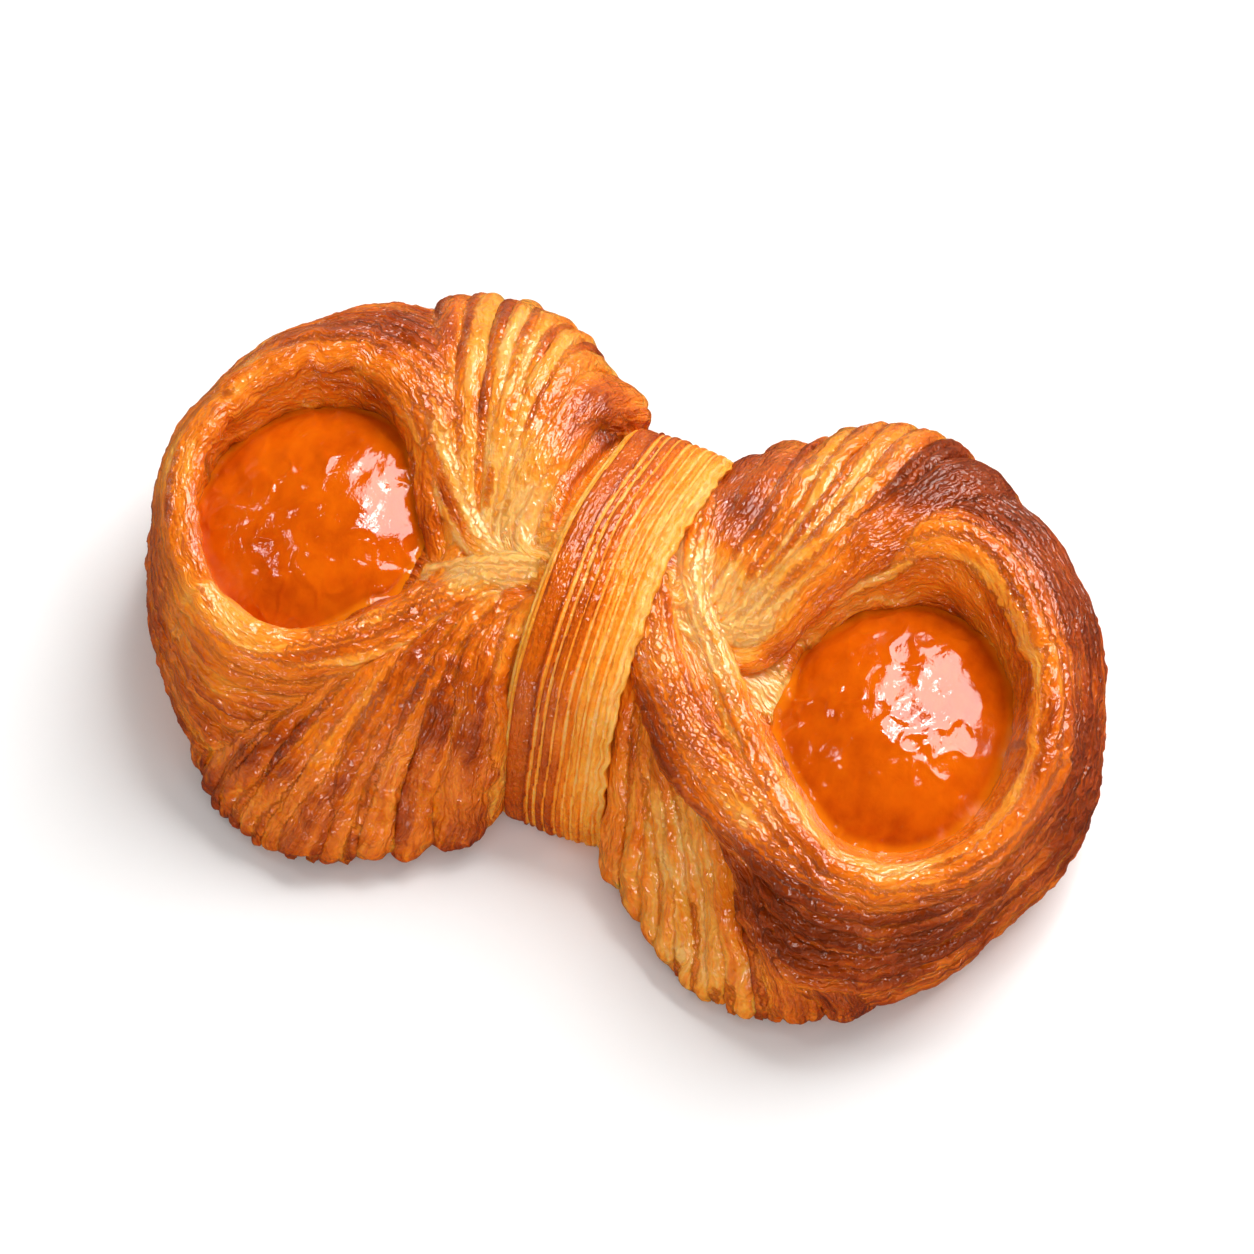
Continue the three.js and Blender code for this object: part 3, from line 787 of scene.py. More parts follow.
def vertexNormals(points, quads):
    a, b, c, d = (points[quads[:, k]] for k in range(4))
    face = np.cross(c - a, d - b)
    normal = np.zeros_like(points)
    for k in range(4):
        np.add.at(normal, quads[:, k], face)
    return unit(normal)


normals = vertexNormals(skinPoints, skinQuads)
if np.sum(normals * (skinPoints - skinPoints.mean(axis=0))) < 0:
    skinQuads = skinQuads[:, ::-1]
    normals = -normals
print("skin:", len(skinPoints), "points")


# Which way the layers run at every point of the skin.

def grainOfForm(form, points):
    onRows = form["kind"] == "lobe"  # there the grain runs round the columns
    flat = form["grid"].reshape(-1, 3)
    rowStep = form["rowStep"].reshape(-1, 3)
    columnStep = form["columnStep"].reshape(-1, 3)
    acrossStep, alongStep = (rowStep, columnStep) if onRows else (columnStep, rowStep)
    pace = np.ones((len(flat), 1))
    if onRows:
        turnStep = grainRadius * 2 * math.pi / form["grid"].shape[1]
        pace = turnStep / np.maximum(np.linalg.norm(alongStep, axis=1, keepdims=True), 1e-6)
    acrossWay, alongWay = unit(acrossStep), unit(alongStep) * pace
    across, along = form["across"].reshape(-1), np.array(form["along"]).reshape(-1)
    tree = KDTree(len(flat))
    for k, p in enumerate(flat):
        tree.insert(p, k)
    tree.balance()
    found = [tree.find_n(p, 3) for p in points]
    nearest = np.array([[f[m][1] for m in range(3)] for f in found])
    distance = np.array([[f[m][2] for m in range(3)] for f in found])
    weight = 1 / (distance ** 2 + 0.05)
    weight /= weight.sum(axis=1, keepdims=True)
    offset = points[:, None] - flat[nearest]
    acrossAt = across[nearest] + np.sum(acrossWay[nearest] * offset, axis=2)
    alongAt = along[nearest] + np.sum(alongWay[nearest] * offset, axis=2)
    return np.sum(weight * acrossAt, axis=1), np.sum(weight * alongAt, axis=1)


def grainOfSkin(points):
    cells = np.round(points / voxel).astype(int) - lowCell
    cells = np.clip(cells, 0, np.array(nearestForm.shape) - 1)
    owner = nearestForm[cells[:, 0], cells[:, 1], cells[:, 2]].astype(int)
    across, along = np.zeros(len(points)), np.zeros(len(points))
    for number, form in enumerate(forms):
        mine = np.nonzero(owner == number)[0]
        if len(mine):
            across[mine], along[mine] = grainOfForm(form, points[mine])
    return {
        "across": across,
        "along": along,
        "owner": owner,
        "tone": np.array([form["tone"] for form in forms])[owner],
        "isLobe": np.array([form["kind"] == "lobe" for form in forms])[owner],
    }


grain = grainOfSkin(skinPoints)
print("grain found")


# Relief: layers, wrinkles and blisters pushed along the skin's normals.

relief = {
    "sway": 0.5,         # slow lumps of hand-shaped dough
    "layers": 0.36,      # ridges along the grain
    "fineLayers": 0.16,
    "veins": 0.4,        # short raised wrinkles
    "grit": 0.035,
    "blisters": 0.3,
    "wrinkles": 0.36,
    "lean": 0.16,        # how fast the layers climb as they go round a lobe
    "layerSize": (2.7, 24),      # across and along the grain
    "fineLayerSize": (1.5, 12),
    "veinSize": (3.1, 7.5),
    "crossVeinSize": (3.3, 3.3, 4.5),
    "wrinkleSize": (2.0, 2.0, 2.6),
    "sharpness": 3.2,            # of the veins' crests
    "swaySize": 14,
    "gritSize": 1.7,
    "blisterSize": 3.4,
    "wallSlope": (-0.65, 0.1),   # where wall starts and is full, as how far the skin faces down
    "clearBase": (0.2, 2.5),     # the relief fades out between these heights
}


# Places that baked smooth and shiny: x, y, z, reach in millimetres and how smooth.
smoothPlaces = [
    (-17.5, 18.4, 35.5, 9, 1.2),
    (-12, 30, 32, 6, 0.7),
    (14, 24, 34, 8, 0.7),
    (13, 36, 29, 8, 0.6),
    (-53, -23, 29, 9, 0.7),
    (-67, -10, 29, 8, 0.6),
    (52, -25, 28, 13, 0.6),
    (70, -10, 29, 10, 0.5),
    (-45, 36, 34, 8, 0.6),
    (52, 42, 33, 9, 0.8),
    (62, 34, 31, 9, 0.6),
]


# Places that wrinkled as they baked, in the same terms.
wrinkledPlaces = [
    (-15, -8, 32, 9, 1.0),
    (-22, -16, 30, 9, 0.8),
    (-13, -22, 26, 9, 0.8),
    (-17.5, 18.4, 35, 8, 0.6),
    (45, 42, 35, 10, 0.8),
    (46, -36, 20, 12, 0.8),
    (-60, -24, 18, 14, 0.6),
    (-44, -38, 12, 14, 1.1),
    (-24, -36, 14, 14, 1.1),
    (20, -32, 14, 10, 0.6),
    (60, -28, 16, 14, 1.0),
    (78, 0, 18, 16, 0.9),
]


def nearPlaces(points, places):
    total = np.zeros(len(points))
    for x, y, z, reach, amount in places:
        d = np.linalg.norm(points - [x, y, z], axis=1)
        total += amount * (1 - smoothStep(d, reach * 0.35, reach * 1.25))
    return total


def grainNoise(flow, size, seed):
    u, v, mark = flow
    return noise3(np.stack([u / size[0], v / size[1], mark], axis=1), seed)


def withNeighbours(total, count, values, quads):  # each point's neighbours along its quads' edges
    for a, b in ((0, 1), (1, 2), (2, 3), (3, 0)):
        np.add.at(total, quads[:, a], values[quads[:, b]])
        np.add.at(total, quads[:, b], values[quads[:, a]])
        np.add.at(count, quads[:, a], 1)
        np.add.at(count, quads[:, b], 1)
    return total, count


def smoothValues(values, quads, times):
    for _ in range(times):
        total, count = withNeighbours(values.copy(), np.ones(len(values)), values, quads)
        values = total / count
    return values


def shapeSkin(points, normals):
    mark = grain["owner"] * 5.37  # keeps each form's noise apart from its neighbours'
    smoothness = np.clip(nearPlaces(points, smoothPlaces) + 0.25 * layeredNoise(points / 9, 2, 71), 0, 1)
    rough = 1 - 0.9 * smoothness
    lean = np.where(grain["isLobe"], relief["lean"], 0.0)
    u = grain["across"] + lean * grain["along"] + 1.3 * noise3(points / 11, 3)
    u = u + rough * (0.7 * noise3(points / 3.4, 4) + 0.3 * noise3(points / 1.6, 6))
    v = grain["along"] + 0.8 * noise3(points / 2.6, 7)
    flow = (u, v, mark)
    ridges = 1 - 2 * np.abs(grainNoise(flow, relief["layerSize"], 11))
    fineRidges = 1 - 2 * np.abs(grainNoise(flow, relief["fineLayerSize"], 12))
    sway = noise3(points / relief["swaySize"], 21) + 0.5 * noise3(points / relief["swaySize"] * 2, 22)
    bendy = points + 1.6 * drift(points / 4, (32, 33, 34))
    across, along = relief["veinSize"]
    shortWays = np.stack([u / across, v / along, mark], axis=1) + bendy / 40
    veins = np.clip(1 - relief["sharpness"] * np.abs(noise3(shortWays, 31)), 0, 1)
    cross = noise3(bendy / relief["crossVeinSize"], 35)
    cross = np.clip(1 - relief["sharpness"] * np.abs(cross), 0, 1)
    grit = layeredNoise(points / relief["gritSize"], 2, 41)
    cells = 1 - 2.2 * np.abs(noise3(points / relief["blisterSize"], 51))
    wall = smoothStep(-normals[:, 2], *relief["wallSlope"])
    push = relief["sway"] * sway
    push = push + rough * relief["layers"] * ridges * (1 + 0.8 * wall)
    push = push + rough * relief["fineLayers"] * fineRidges
    wrinkled = np.clip(nearPlaces(points, wrinkledPlaces), 0, 1)
    push = push + relief["veins"] * (veins * 0.6 + cross) * (0.25 + 0.75 * wall) * rough
    tight = 1 - 2.6 * np.abs(noise3(bendy / relief["wrinkleSize"], 36))
    push = push + relief["wrinkles"] * wrinkled * np.clip(tight, -0.5, 1)
    push = push + relief["grit"] * grit * (0.5 + 0.5 * rough)
    push = push + relief["blisters"] * cells * smoothness * 0.5
    push = smoothValues(push * smoothStep(points[:, 2], *relief["clearBase"]), skinQuads, 1)
    moved = points + normals * push[:, None]
    return moved, {"flow": flow, "fine": fineRidges, "cross": cross, "smooth": smoothness, "wall": wall}


shapedPoints, marks = shapeSkin(skinPoints, normals)


def skinCurvature(points, quads, normals):
    total, count = withNeighbours(np.zeros_like(points), np.zeros(len(points)), points, quads)
    return np.sum((points - total / count[:, None]) * normals, axis=1)


normals = vertexNormals(shapedPoints, skinQuads)
fullBend = 0.03       # the bend, in millimetres, that counts as a sharp edge
bendWide = smoothValues(skinCurvature(shapedPoints, skinQuads, normals) / fullBend, skinQuads, 6)
lookOut = 2.0         # how far out the next dough has to be for a place to lie open
# How shut in each point lies, a rough ambient occlusion; it drives painted shade in crevices and painted
# glow in creases.
shutIn = 1 - np.clip(doughDistance(shapedPoints + normals * lookOut) / lookOut, 0, 1)
shutIn = smoothValues(shutIn, skinQuads, 3)
print("relief pushed")


# How far each place baked, 0 pale to 1 dark brown, with painted shade in crevices and painted light and
# shade in a few listed places.

bakeAndShade = {
    "walls": 0.06,
    "ridges": 0.12,
    "patches": 0.15,
    "lines": 0.17,
    "fineLines": 0.13,
    "veins": 0.08,
    "wallRidges": 0.13,
    # Painted shade in crevices, for the darker crust.
    "paintedCreviceShade": 0.3,
    "palest": 0.06,
    "span": 0.78,              # from the palest form to the brownest
    "lobe": 0.5,
    "insidePockets": 0.16,
    "insideShare": 0.55,
    "lineSize": (1.9, 22),     # across and along the grain
    "fineLineSize": (0.95, 15),
    "wallFloor": 0.3,          # no wall is paler than this
    "darkest": 0.88,
}


# x, y, z, reach in millimetres and how much darker (or paler) than the rest; most rows are browning, the
# rows marked below are painted light and painted shade
bakedAndPaintedLightPlaces = [
    (45, 43, 35, 9, 0.5),
    (53, 38, 35, 10, 0.4),
    (39, 35, 38, 7, 0.34),
    (45, 37, 38, 6, 0.3),
    (-18, 28, 34, 8, 0.26),
    (-13, 32, 31, 7, 0.22),
    (68, 26, 32, 14, 0.26),
    (76, 4, 22, 16, 0.26),
    (44, -34, 26, 13, 0.26),
    (58, -32, 20, 12, 0.16),
    (18, -16, 29, 9, 0.22),
    (13, 30, 31, 11, 0.26),
    (16, 20, 35, 6, 0.2),
    (-45, 34, 34, 10, 0.3),
    (-60, 26, 34, 9, 0.14),
    (-52, 30, 36, 8, 0.18),
    (-15, -22, 26, 9, 0.2),
    (-38, -36, 20, 10, 0.12),
    (-14, 36, 28, 9, 0.2),
    (-44, 22, 35, 6, 0.1),
    (-13, 8, 34, 9, -0.3),
    (-20, 1, 31, 8, -0.3),
    (18, 1, 32, 9, -0.35),
    (14, 8, 34, 7, -0.3),
    # The next two rows are paler for the golden roll and also to offset the shade the back fold casts there:
    # partly painted light.
    (28, 6, 31, 8, -0.3),
    (36, 15, 32, 8, -0.24),
    # Paler still where the back fold shades the pale dough: painted light.
    (26, -2, 27, 6, -0.5),
    (-52, -22, 29, 11, -0.2),
    (52, -24, 28, 13, -0.16),
    (66, -22, 20, 14, 0.18),
    (28, 12, 34, 9, -0.12),
    (-30, 34, 36, 12, -0.12),
    (28, 34, 36, 12, -0.12),
    (-60, -6, 32, 10, -0.08),
    # The next two rows darken the pockets' inner back walls above the fruit: painted shade.
    (49, 20, 26, 8, 0.5),
    (-49, 19, 28, 8, 0.3),
]


def bakeAndPaintedLightTone(points):
    tone = np.where(grain["isLobe"], bakeAndShade["lobe"], bakeAndShade["palest"] + bakeAndShade["span"] * grain["tone"])
    rough = 1 - 0.7 * marks["smooth"]
    tone = tone + bakeAndShade["walls"] * marks["wall"]
    tone = tone + bakeAndShade["ridges"] * np.clip(bendWide, -1, 1) * 1.5
    # Painted shade: the darker crust is painted darker still where the skin is shut in, as in crevices.
    tone = tone + bakeAndShade["paintedCreviceShade"] * shutIn * smoothStep(tone, 0.4, 0.7)
    tone = tone + bakeAndShade["patches"] * layeredNoise(points / 10, 3, 81)
    tone = tone + rough * bakeAndShade["lines"] * grainNoise(marks["flow"], bakeAndShade["lineSize"], 83)
    tone = tone + rough * bakeAndShade["fineLines"] * grainNoise(marks["flow"], bakeAndShade["fineLineSize"], 84)
    tone = tone - bakeAndShade["veins"] * marks["cross"] * marks["wall"]
    tone = tone + nearPlaces(points, bakedAndPaintedLightPlaces)
    tone = tone - bakeAndShade["wallRidges"] * marks["wall"] * smoothStep(marks["fine"], 0.45, 0.95)
    tone = tone + bakeAndShade["wallRidges"] * 0.7 * marks["wall"] * smoothStep(-marks["fine"], -0.2, 0.6)
    inside = grain["isLobe"] * smoothStep(grain["across"], 4, 9)
    tone = tone * (1 - bakeAndShade["insideShare"] * inside) + bakeAndShade["insidePockets"] * inside
    return smoothValues(np.clip(tone, bakeAndShade["wallFloor"] * marks["wall"], bakeAndShade["darkest"]), skinQuads, 1)


tone = bakeAndPaintedLightTone(shapedPoints)


def toFrame(points):
    return np.asarray(points, float) * mm + np.array(bowMiddle)


def newObject(name, data):
    made = bpy.data.objects.new(name, data)
    bpy.context.scene.collection.objects.link(made)
    return made


def meshObject(name, points, faces):
    mesh = bpy.data.meshes.new(name)
    mesh.from_pydata(toFrame(points).tolist(), [], [list(map(int, f)) for f in faces])
    mesh.validate()
    mesh.shade_smooth()
    return newObject(name, mesh)


def setValues(made, **named):  # a number for every point, or a row of three
    for name, values in named.items():
        values = np.asarray(values, np.float32)
        kind, entry = ("FLOAT", "value") if values.ndim == 1 else ("FLOAT_VECTOR", "vector")
        made.data.attributes.new(name, kind, "POINT").data.foreach_set(entry, values.reshape(-1))


skinFinish = {
    "gloss": 0.8,
    "glossPatches": 0.35,
    "patchSize": 6,
    "glossWhereSmooth": 0.3,
    "glossLostWhereDark": 0.3,
    "calmWhereSmooth": 0.85,
    "roughOnWalls": 0.7,
    "glowInCreases": 1.2,      # this and the next: how much creases and shut-in places get of the painted glow, a yellow-orange standing in for light through the dough
    "glowWhereShutIn": 1.1,
}

pastry = meshObject("pastry", shapedPoints, skinQuads)
patchy = layeredNoise(shapedPoints / skinFinish["patchSize"], 2, 91)
gloss = skinFinish["gloss"] + skinFinish["glossPatches"] * patchy
gloss = gloss + skinFinish["glossWhereSmooth"] * marks["smooth"]
gloss = gloss - skinFinish["glossLostWhereDark"] * smoothStep(tone, 0.6, 0.85)
roughCrust = 1 - skinFinish["calmWhereSmooth"] * marks["smooth"]
roughCrust = roughCrust * (1 + skinFinish["roughOnWalls"] * marks["wall"])
# Painted glow: yellow-orange painted into creases and shut-in places for light shining through the dough,
# strongest in pale dough.
glow = -bendWide * skinFinish["glowInCreases"] - 0.1 + skinFinish["glowWhereShutIn"] * (shutIn - 0.1)
glow = np.clip(glow, 0, 1) * (1 - smoothStep(tone, 0.35, 0.8))
setValues(pastry, tone=tone, gloss=np.clip(gloss, 0.05, 1), roughCrust=roughCrust, glow=glow,
          flow=np.stack(marks["flow"], axis=1))
print("pastry mesh made")


# Materials.

def newMaterial(name):
    material = bpy.data.materials.new(name)
    material.use_nodes = True
    tree = material.node_tree
    tree.nodes.clear()
    return material, tree


def feed(tree, entry, value):  # an entry takes a plain value or another node's output
    if isinstance(value, bpy.types.NodeSocket):
        tree.links.new(value, entry)
    else:
        entry.default_value = value


def node(tree, kind, **settings):
    made = tree.nodes.new(kind)
    for key, value in settings.items():
        if key in made.inputs:
            feed(tree, made.inputs[key], value)
        else:
            setattr(made, key, value)
    return made


def attribute(tree, name, output="Fac"):
    return node(tree, "ShaderNodeAttribute", attribute_name=name).outputs[output]


def mathNode(tree, operation, a, b=0.0, clamp=False):
    made = node(tree, "ShaderNodeMath", operation=operation, use_clamp=clamp)
    feed(tree, made.inputs[0], a)
    feed(tree, made.inputs[1], b)
    return made.outputs[0]


def fromMiddle(tree, value):  # how far noise is from its middle, which draws thin creases
    return mathNode(tree, "ABSOLUTE", mathNode(tree, "SUBTRACT", value, 0.5))


def mixColours(tree, share, first, second):
    mix = node(tree, "ShaderNodeMix", data_type="RGBA", Factor=share)
    feed(tree, mix.inputs[6], first)
    feed(tree, mix.inputs[7], (*second, 1))
    return mix.outputs[2]


def bumpFrom(tree, height, strength, distance):
    bump = node(tree, "ShaderNodeBump", Height=height, Strength=strength, Distance=distance)
    return bump.outputs["Normal"]


def surface(tree, settings):
    shader = node(tree, "ShaderNodeBsdfPrincipled", **settings)
    node(tree, "ShaderNodeOutputMaterial", Surface=shader.outputs["BSDF"])


def colourRamp(tree, value, stops):
    ramp = node(tree, "ShaderNodeValToRGB")
    elements = ramp.color_ramp.elements
    while len(elements) < len(stops):
        elements.new(0.5)
    for element, (place, colour) in zip(elements, stops):
        element.position = place
        element.color = (*colour, 1)
    feed(tree, ramp.inputs[0], value)
    return ramp.outputs[0]


def noises(tree, settings):
    made = {}
    for name, (way, scale, detail, seed) in settings.items():
        if way == "grain":
            vector = attribute(tree, "flow", "Vector")
        else:
            vector = node(tree, "ShaderNodeTexCoord").outputs["Object"]
        mapping = node(tree, "ShaderNodeMapping", Vector=vector, Scale=scale,
                       Location=(seed, seed * 1.7, seed * 0.3))
        noise = node(tree, "ShaderNodeTexNoise", Vector=mapping.outputs[0],
                     Scale=1.0, Detail=detail, Roughness=0.55)
        made[name] = noise.outputs["Fac"]
    return made


doughFinish = {
    "stops": [  # from palest inner dough to darkest crust, linear colour
        (0.00, (0.98, 0.52, 0.150)),
        (0.16, (0.97, 0.365, 0.040)),
        (0.34, (0.88, 0.208, 0.008)),
        (0.54, (0.66, 0.112, 0.002)),
        (0.74, (0.38, 0.043, 0.001)),
        (1.00, (0.16, 0.014, 0.001)),
    ],
    "glow": (1.0, 0.26, 0.005),     # the yellow-orange painted into the creases as glow, standing in for light shining through the dough
    "specks": 0.06,
    "patches": 0.12,
    "lines": 0.24,
    "paintedValleyGlow": 0.4,                 # how far the little creases take that painted glow
    "subsurface": 0.66,             # in the palest dough; less as it bakes darker
    "subsurfaceLost": 0.5,
    "bump": 0.9,
    "coatBump": 0.6,                # the glaze fills the finest creases
    "bumpDistance": 0.0005,
    "scaleDepth": -2.4,
    "wormDepth": -1.0,
    "pleatDepth": -2.0,
    "speckHeight": 0.14,
    "noises": {  # the space each is measured in, its scale, detail and start
        "specks": ("object", (1500, 1500, 1500), 1, 1.3),
        "patches": ("object", (170, 170, 170), 4, 5.3),
        "lines": ("grain", (1.6, 0.07, 1), 2, 3.1),
        "worms": ("object", (620, 620, 620), 1.5, 6.1),
        "pleats": ("grain", (1.15, 0.4, 1), 1.5, 8.2),
        "scales": ("grain", (0.85, 0.24, 1), 1, 9.4),
    },
    "shader": {
        "Specular IOR Level": 0.3,
        "Specular Tint": (1.0, 0.54, 0.12, 1),   # the warm tint of the baked skin's own shine
        "Subsurface Radius": (1.0, 0.38, 0.10),
        "Subsurface Scale": 0.0026,
        "Coat Roughness": 0.045,
        "Coat IOR": 1.64,
    },
}


def makeDoughMaterial(name):
    material, tree = newMaterial(name)
    tone, glow, rough = (attribute(tree, key) for key in ("tone", "glow", "roughCrust"))
    noise = noises(tree, doughFinish["noises"])
    worms, pleats, scales = (fromMiddle(tree, noise[key]) for key in ("worms", "pleats", "scales"))
    total = tone
    for key in ("specks", "patches", "lines"):
        swing = mathNode(tree, "SUBTRACT", noise[key], 0.5)
        swing = mathNode(tree, "MULTIPLY", swing, doughFinish[key] * 2)
        if key == "lines":
            swing = mathNode(tree, "MULTIPLY", swing, rough)
        total = mathNode(tree, "ADD", total, swing)
    total = mathNode(tree, "MAXIMUM", mathNode(tree, "MINIMUM", total, 1.0), 0.0)
    colour = colourRamp(tree, total, doughFinish["stops"])
    # Painted glow in the little creases of the bump, mostly in pale dough.
    paintedValleyGlow = mathNode(tree, "MULTIPLY", mathNode(tree, "SUBTRACT", pleats, 0.03), 9.0, clamp=True)
    pale = mathNode(tree, "SUBTRACT", 1.0, mathNode(tree, "MULTIPLY", total, 1.5), clamp=True)
    paintedValleyGlow = mathNode(tree, "MULTIPLY", mathNode(tree, "MULTIPLY", paintedValleyGlow, pale), doughFinish["paintedValleyGlow"])
    colour = mixColours(tree, mathNode(tree, "ADD", glow, paintedValleyGlow, clamp=True), colour, doughFinish["glow"])
    lost = mathNode(tree, "MULTIPLY", total, doughFinish["subsurfaceLost"])
    height = mathNode(tree, "MULTIPLY", mathNode(tree, "MULTIPLY", scales, doughFinish["scaleDepth"]), rough)
    for source, key in ((worms, "wormDepth"), (pleats, "pleatDepth"), (noise["specks"], "speckHeight")):
        height = mathNode(tree, "ADD", height, mathNode(tree, "MULTIPLY", source, doughFinish[key]))
    deeper = mathNode(tree, "ADD", 0.8, mathNode(tree, "MULTIPLY", total, 0.7))
    height = mathNode(tree, "MULTIPLY", height, deeper)
    surface(tree, {
        **doughFinish["shader"],
        "Base Color": colour,
        "Roughness": mathNode(tree, "ADD", 0.34, mathNode(tree, "MULTIPLY", noise["specks"], 0.2)),
        "Subsurface Weight": mathNode(tree, "SUBTRACT", doughFinish["subsurface"], lost, clamp=True),
        "Coat Weight": attribute(tree, "gloss"),
        "Normal": bumpFrom(tree, height, doughFinish["bump"], doughFinish["bumpDistance"]),
        "Coat Normal": bumpFrom(tree, height, doughFinish["coatBump"], doughFinish["bumpDistance"]),
    })
    return material


bakedDough = makeDoughMaterial("bakedDough")
pastry.data.materials.append(bakedDough)
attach(pastry, "root")
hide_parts("pastry_body")


# The strip round the waist.

strip = {
    "halfWidth": 8.9,
    # how far its middle wanders along the bow, from under the base round the back and over the top
    "lean": [0.5, 0.3, 0.3, 0.2, -0.5, 0.4, 1.4, 1.4],
    "lift": 0.5,
    # across the strip from its left edge: where each ply starts, how high it stands, its tone
    "plies": [
        (0.00, -0.9, 0.16), (0.04, -0.2, 0.26), (0.075, 0.45, 0.68), (0.265, 0.75, 0.82), (0.285, 0.1, 0.14),
        (0.315, 0.6, 0.72), (0.355, 0.3, 0.16), (0.385, 0.8, 0.70), (0.455, 0.5, 0.24), (0.475, 0.85, 0.64),
        (0.55, 0.25, 0.14), (0.58, 0.6, 0.48), (0.63, 0.3, 0.14), (0.65, 0.5, 0.34), (0.71, 0.4, 0.1),
        (0.735, 0.45, 0.3), (0.80, 0.15, 0.08), (0.83, 0.3, 0.20), (0.90, 0.0, 0.06), (0.93, -0.3, 0.16),
        (1.0, -1.0, 0.2),
    ],
    "thickness": 3.2,
    "underside": 0.96,     # its width underneath, as a share
    "arch": 0.35,          # how far each ply's middle stands above its edges
    "edgeTone": 0.2,
    "lumps": 0.3,
    "layers": 0.16,
    "fineLayers": 0.09,
    "grit": 0.05,
    "frill": 0.45,         # the ragged edge on its right, outwards and then sideways
    "frillSide": 0.7,
    "lines": 0.12,
}
stripMiddle = np.array([0, 5, 18])


def stripGrid(rows, columns, topColumns):  # round the waist, and across its top and back under
    loop = waistLoop(rows, -strip["lift"])
    turn = np.arange(rows) / rows
    outwards = unit(loop - waistLoop(rows, 1.0))
    lean = aroundTurn(strip["lean"], turn * 2 * math.pi)
    share = np.linspace(0, 1, topColumns)
    back = np.linspace(1, 0, columns - topColumns + 2)[1:-1]
    starts, heights, plyTones = np.array(strip["plies"]).T
    points = np.zeros((rows, columns, 3))
    tones = np.full((rows, columns), 0.3)
    top, under = slice(0, topColumns), slice(topColumns, columns)
    for k in range(rows):
        wander = 0.012 * math.sin(turn[k] * 17) + 0.008 * math.sin(turn[k] * 41 + 1)
        place = np.clip(share + wander * np.sin(share * math.pi), 0, 1)
        ply = np.clip(np.searchsorted(starts, place, side="right") - 1, 0, len(starts) - 2)
        within = (place - starts[ply]) / (starts[ply + 1] - starts[ply])
        arch = 4 * within * (1 - within)
        lift = heights[ply] + strip["arch"] * np.sqrt(np.clip(arch, 0, 1))
        points[k, top, 0] = lean[k] + (share * 2 - 1) * strip["halfWidth"]
        points[k, top, 1:] = loop[k] + outwards[k] * lift[:, None]
        points[k, under, 0] = lean[k] + (back * 2 - 1) * strip["halfWidth"] * strip["underside"]
        points[k, under, 1:] = loop[k] - outwards[k] * strip["thickness"]
        tones[k, top] = plyTones[ply] + strip["edgeTone"] * (1 - arch) ** 3
    across = np.full((rows, columns), 20.0)  # the underside lies beyond either edge
    across[:, top] = (share * 2 - 1) * strip["halfWidth"]
    along = np.broadcast_to(lengthAlong(loop)[:, None], (rows, columns))
    return points.reshape(-1, 3), across.reshape(-1), along.reshape(-1), tones.reshape(-1)


def stripMesh():
    rows, columns = 460, 120
    flat, across, along, tones = stripGrid(rows, columns, 96)
    flow = np.stack([across, along, np.full(rows * columns, 700.0)], axis=1)
    onTop = (across < 15) * (1 - 0.7 * smoothStep(tones, 0.35, 0.6))
    push = strip["lumps"] * noise3(flat / 9, 61) + onTop * (
        strip["layers"] * (1 - 2 * np.abs(noise3(flow / [0.9, 21, 1], 62)))
        + strip["fineLayers"] * (1 - 2 * np.abs(noise3(flow / [0.45, 12, 1], 63)))
        + strip["grit"] * noise3(flat / 1.3, 64)
    )
    frill = smoothStep(across, 5.5, 8.6) * onTop
    push = push + frill * strip["frill"] * noise3(flow / [1.5, 2.2, 1], 65)
    way = flat - stripMiddle
    way[:, 0] = 0
    moved = flat + unit(way) * push[:, None]
    moved[:, 0] += frill * strip["frillSide"] * noise3(flow / [50, 2.6, 1], 66)
    moved[:, 2] = np.maximum(moved[:, 2], 0.0)
    numbers = np.arange(rows * columns).reshape(rows, columns)
    onward = np.roll(numbers, -1, axis=0)
    quads = np.stack([numbers, np.roll(numbers, -1, axis=1), np.roll(onward, -1, axis=1), onward], -1)
    low = smoothStep(-moved[:, 2], -24, -5)
    tone = tones * 0.95 - 0.08 + 0.12 * low + 0.1 * layeredNoise(flat / 8, 2, 67)
    tone = tone + onTop * strip["lines"] * noise3(flow / [0.8, 18, 1], 68)
    return moved, quads.reshape(-1, 4), flow, np.clip(tone, 0, 1)


stripPoints, stripQuads, stripFlow, stripTone = stripMesh()
stripNormals = vertexNormals(stripPoints, stripQuads)
if np.sum(stripNormals * (stripPoints - stripMiddle)) < 0:
    stripQuads = stripQuads[:, ::-1]
waistStrip = meshObject("waist_strip", stripPoints, stripQuads)
browned = smoothStep(stripTone, 0.35, 0.6)
setValues(waistStrip, tone=stripTone, gloss=0.25 + 0.5 * browned, glow=np.zeros(len(stripPoints)),
          roughCrust=1 - 0.75 * browned, flow=stripFlow)
waistStrip.data.materials.append(makeDoughMaterial("bakedStrip"))
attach(waistStrip, "root")
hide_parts("waist_band")
print("strip made")


# The fruit's finish, and its two pieces.

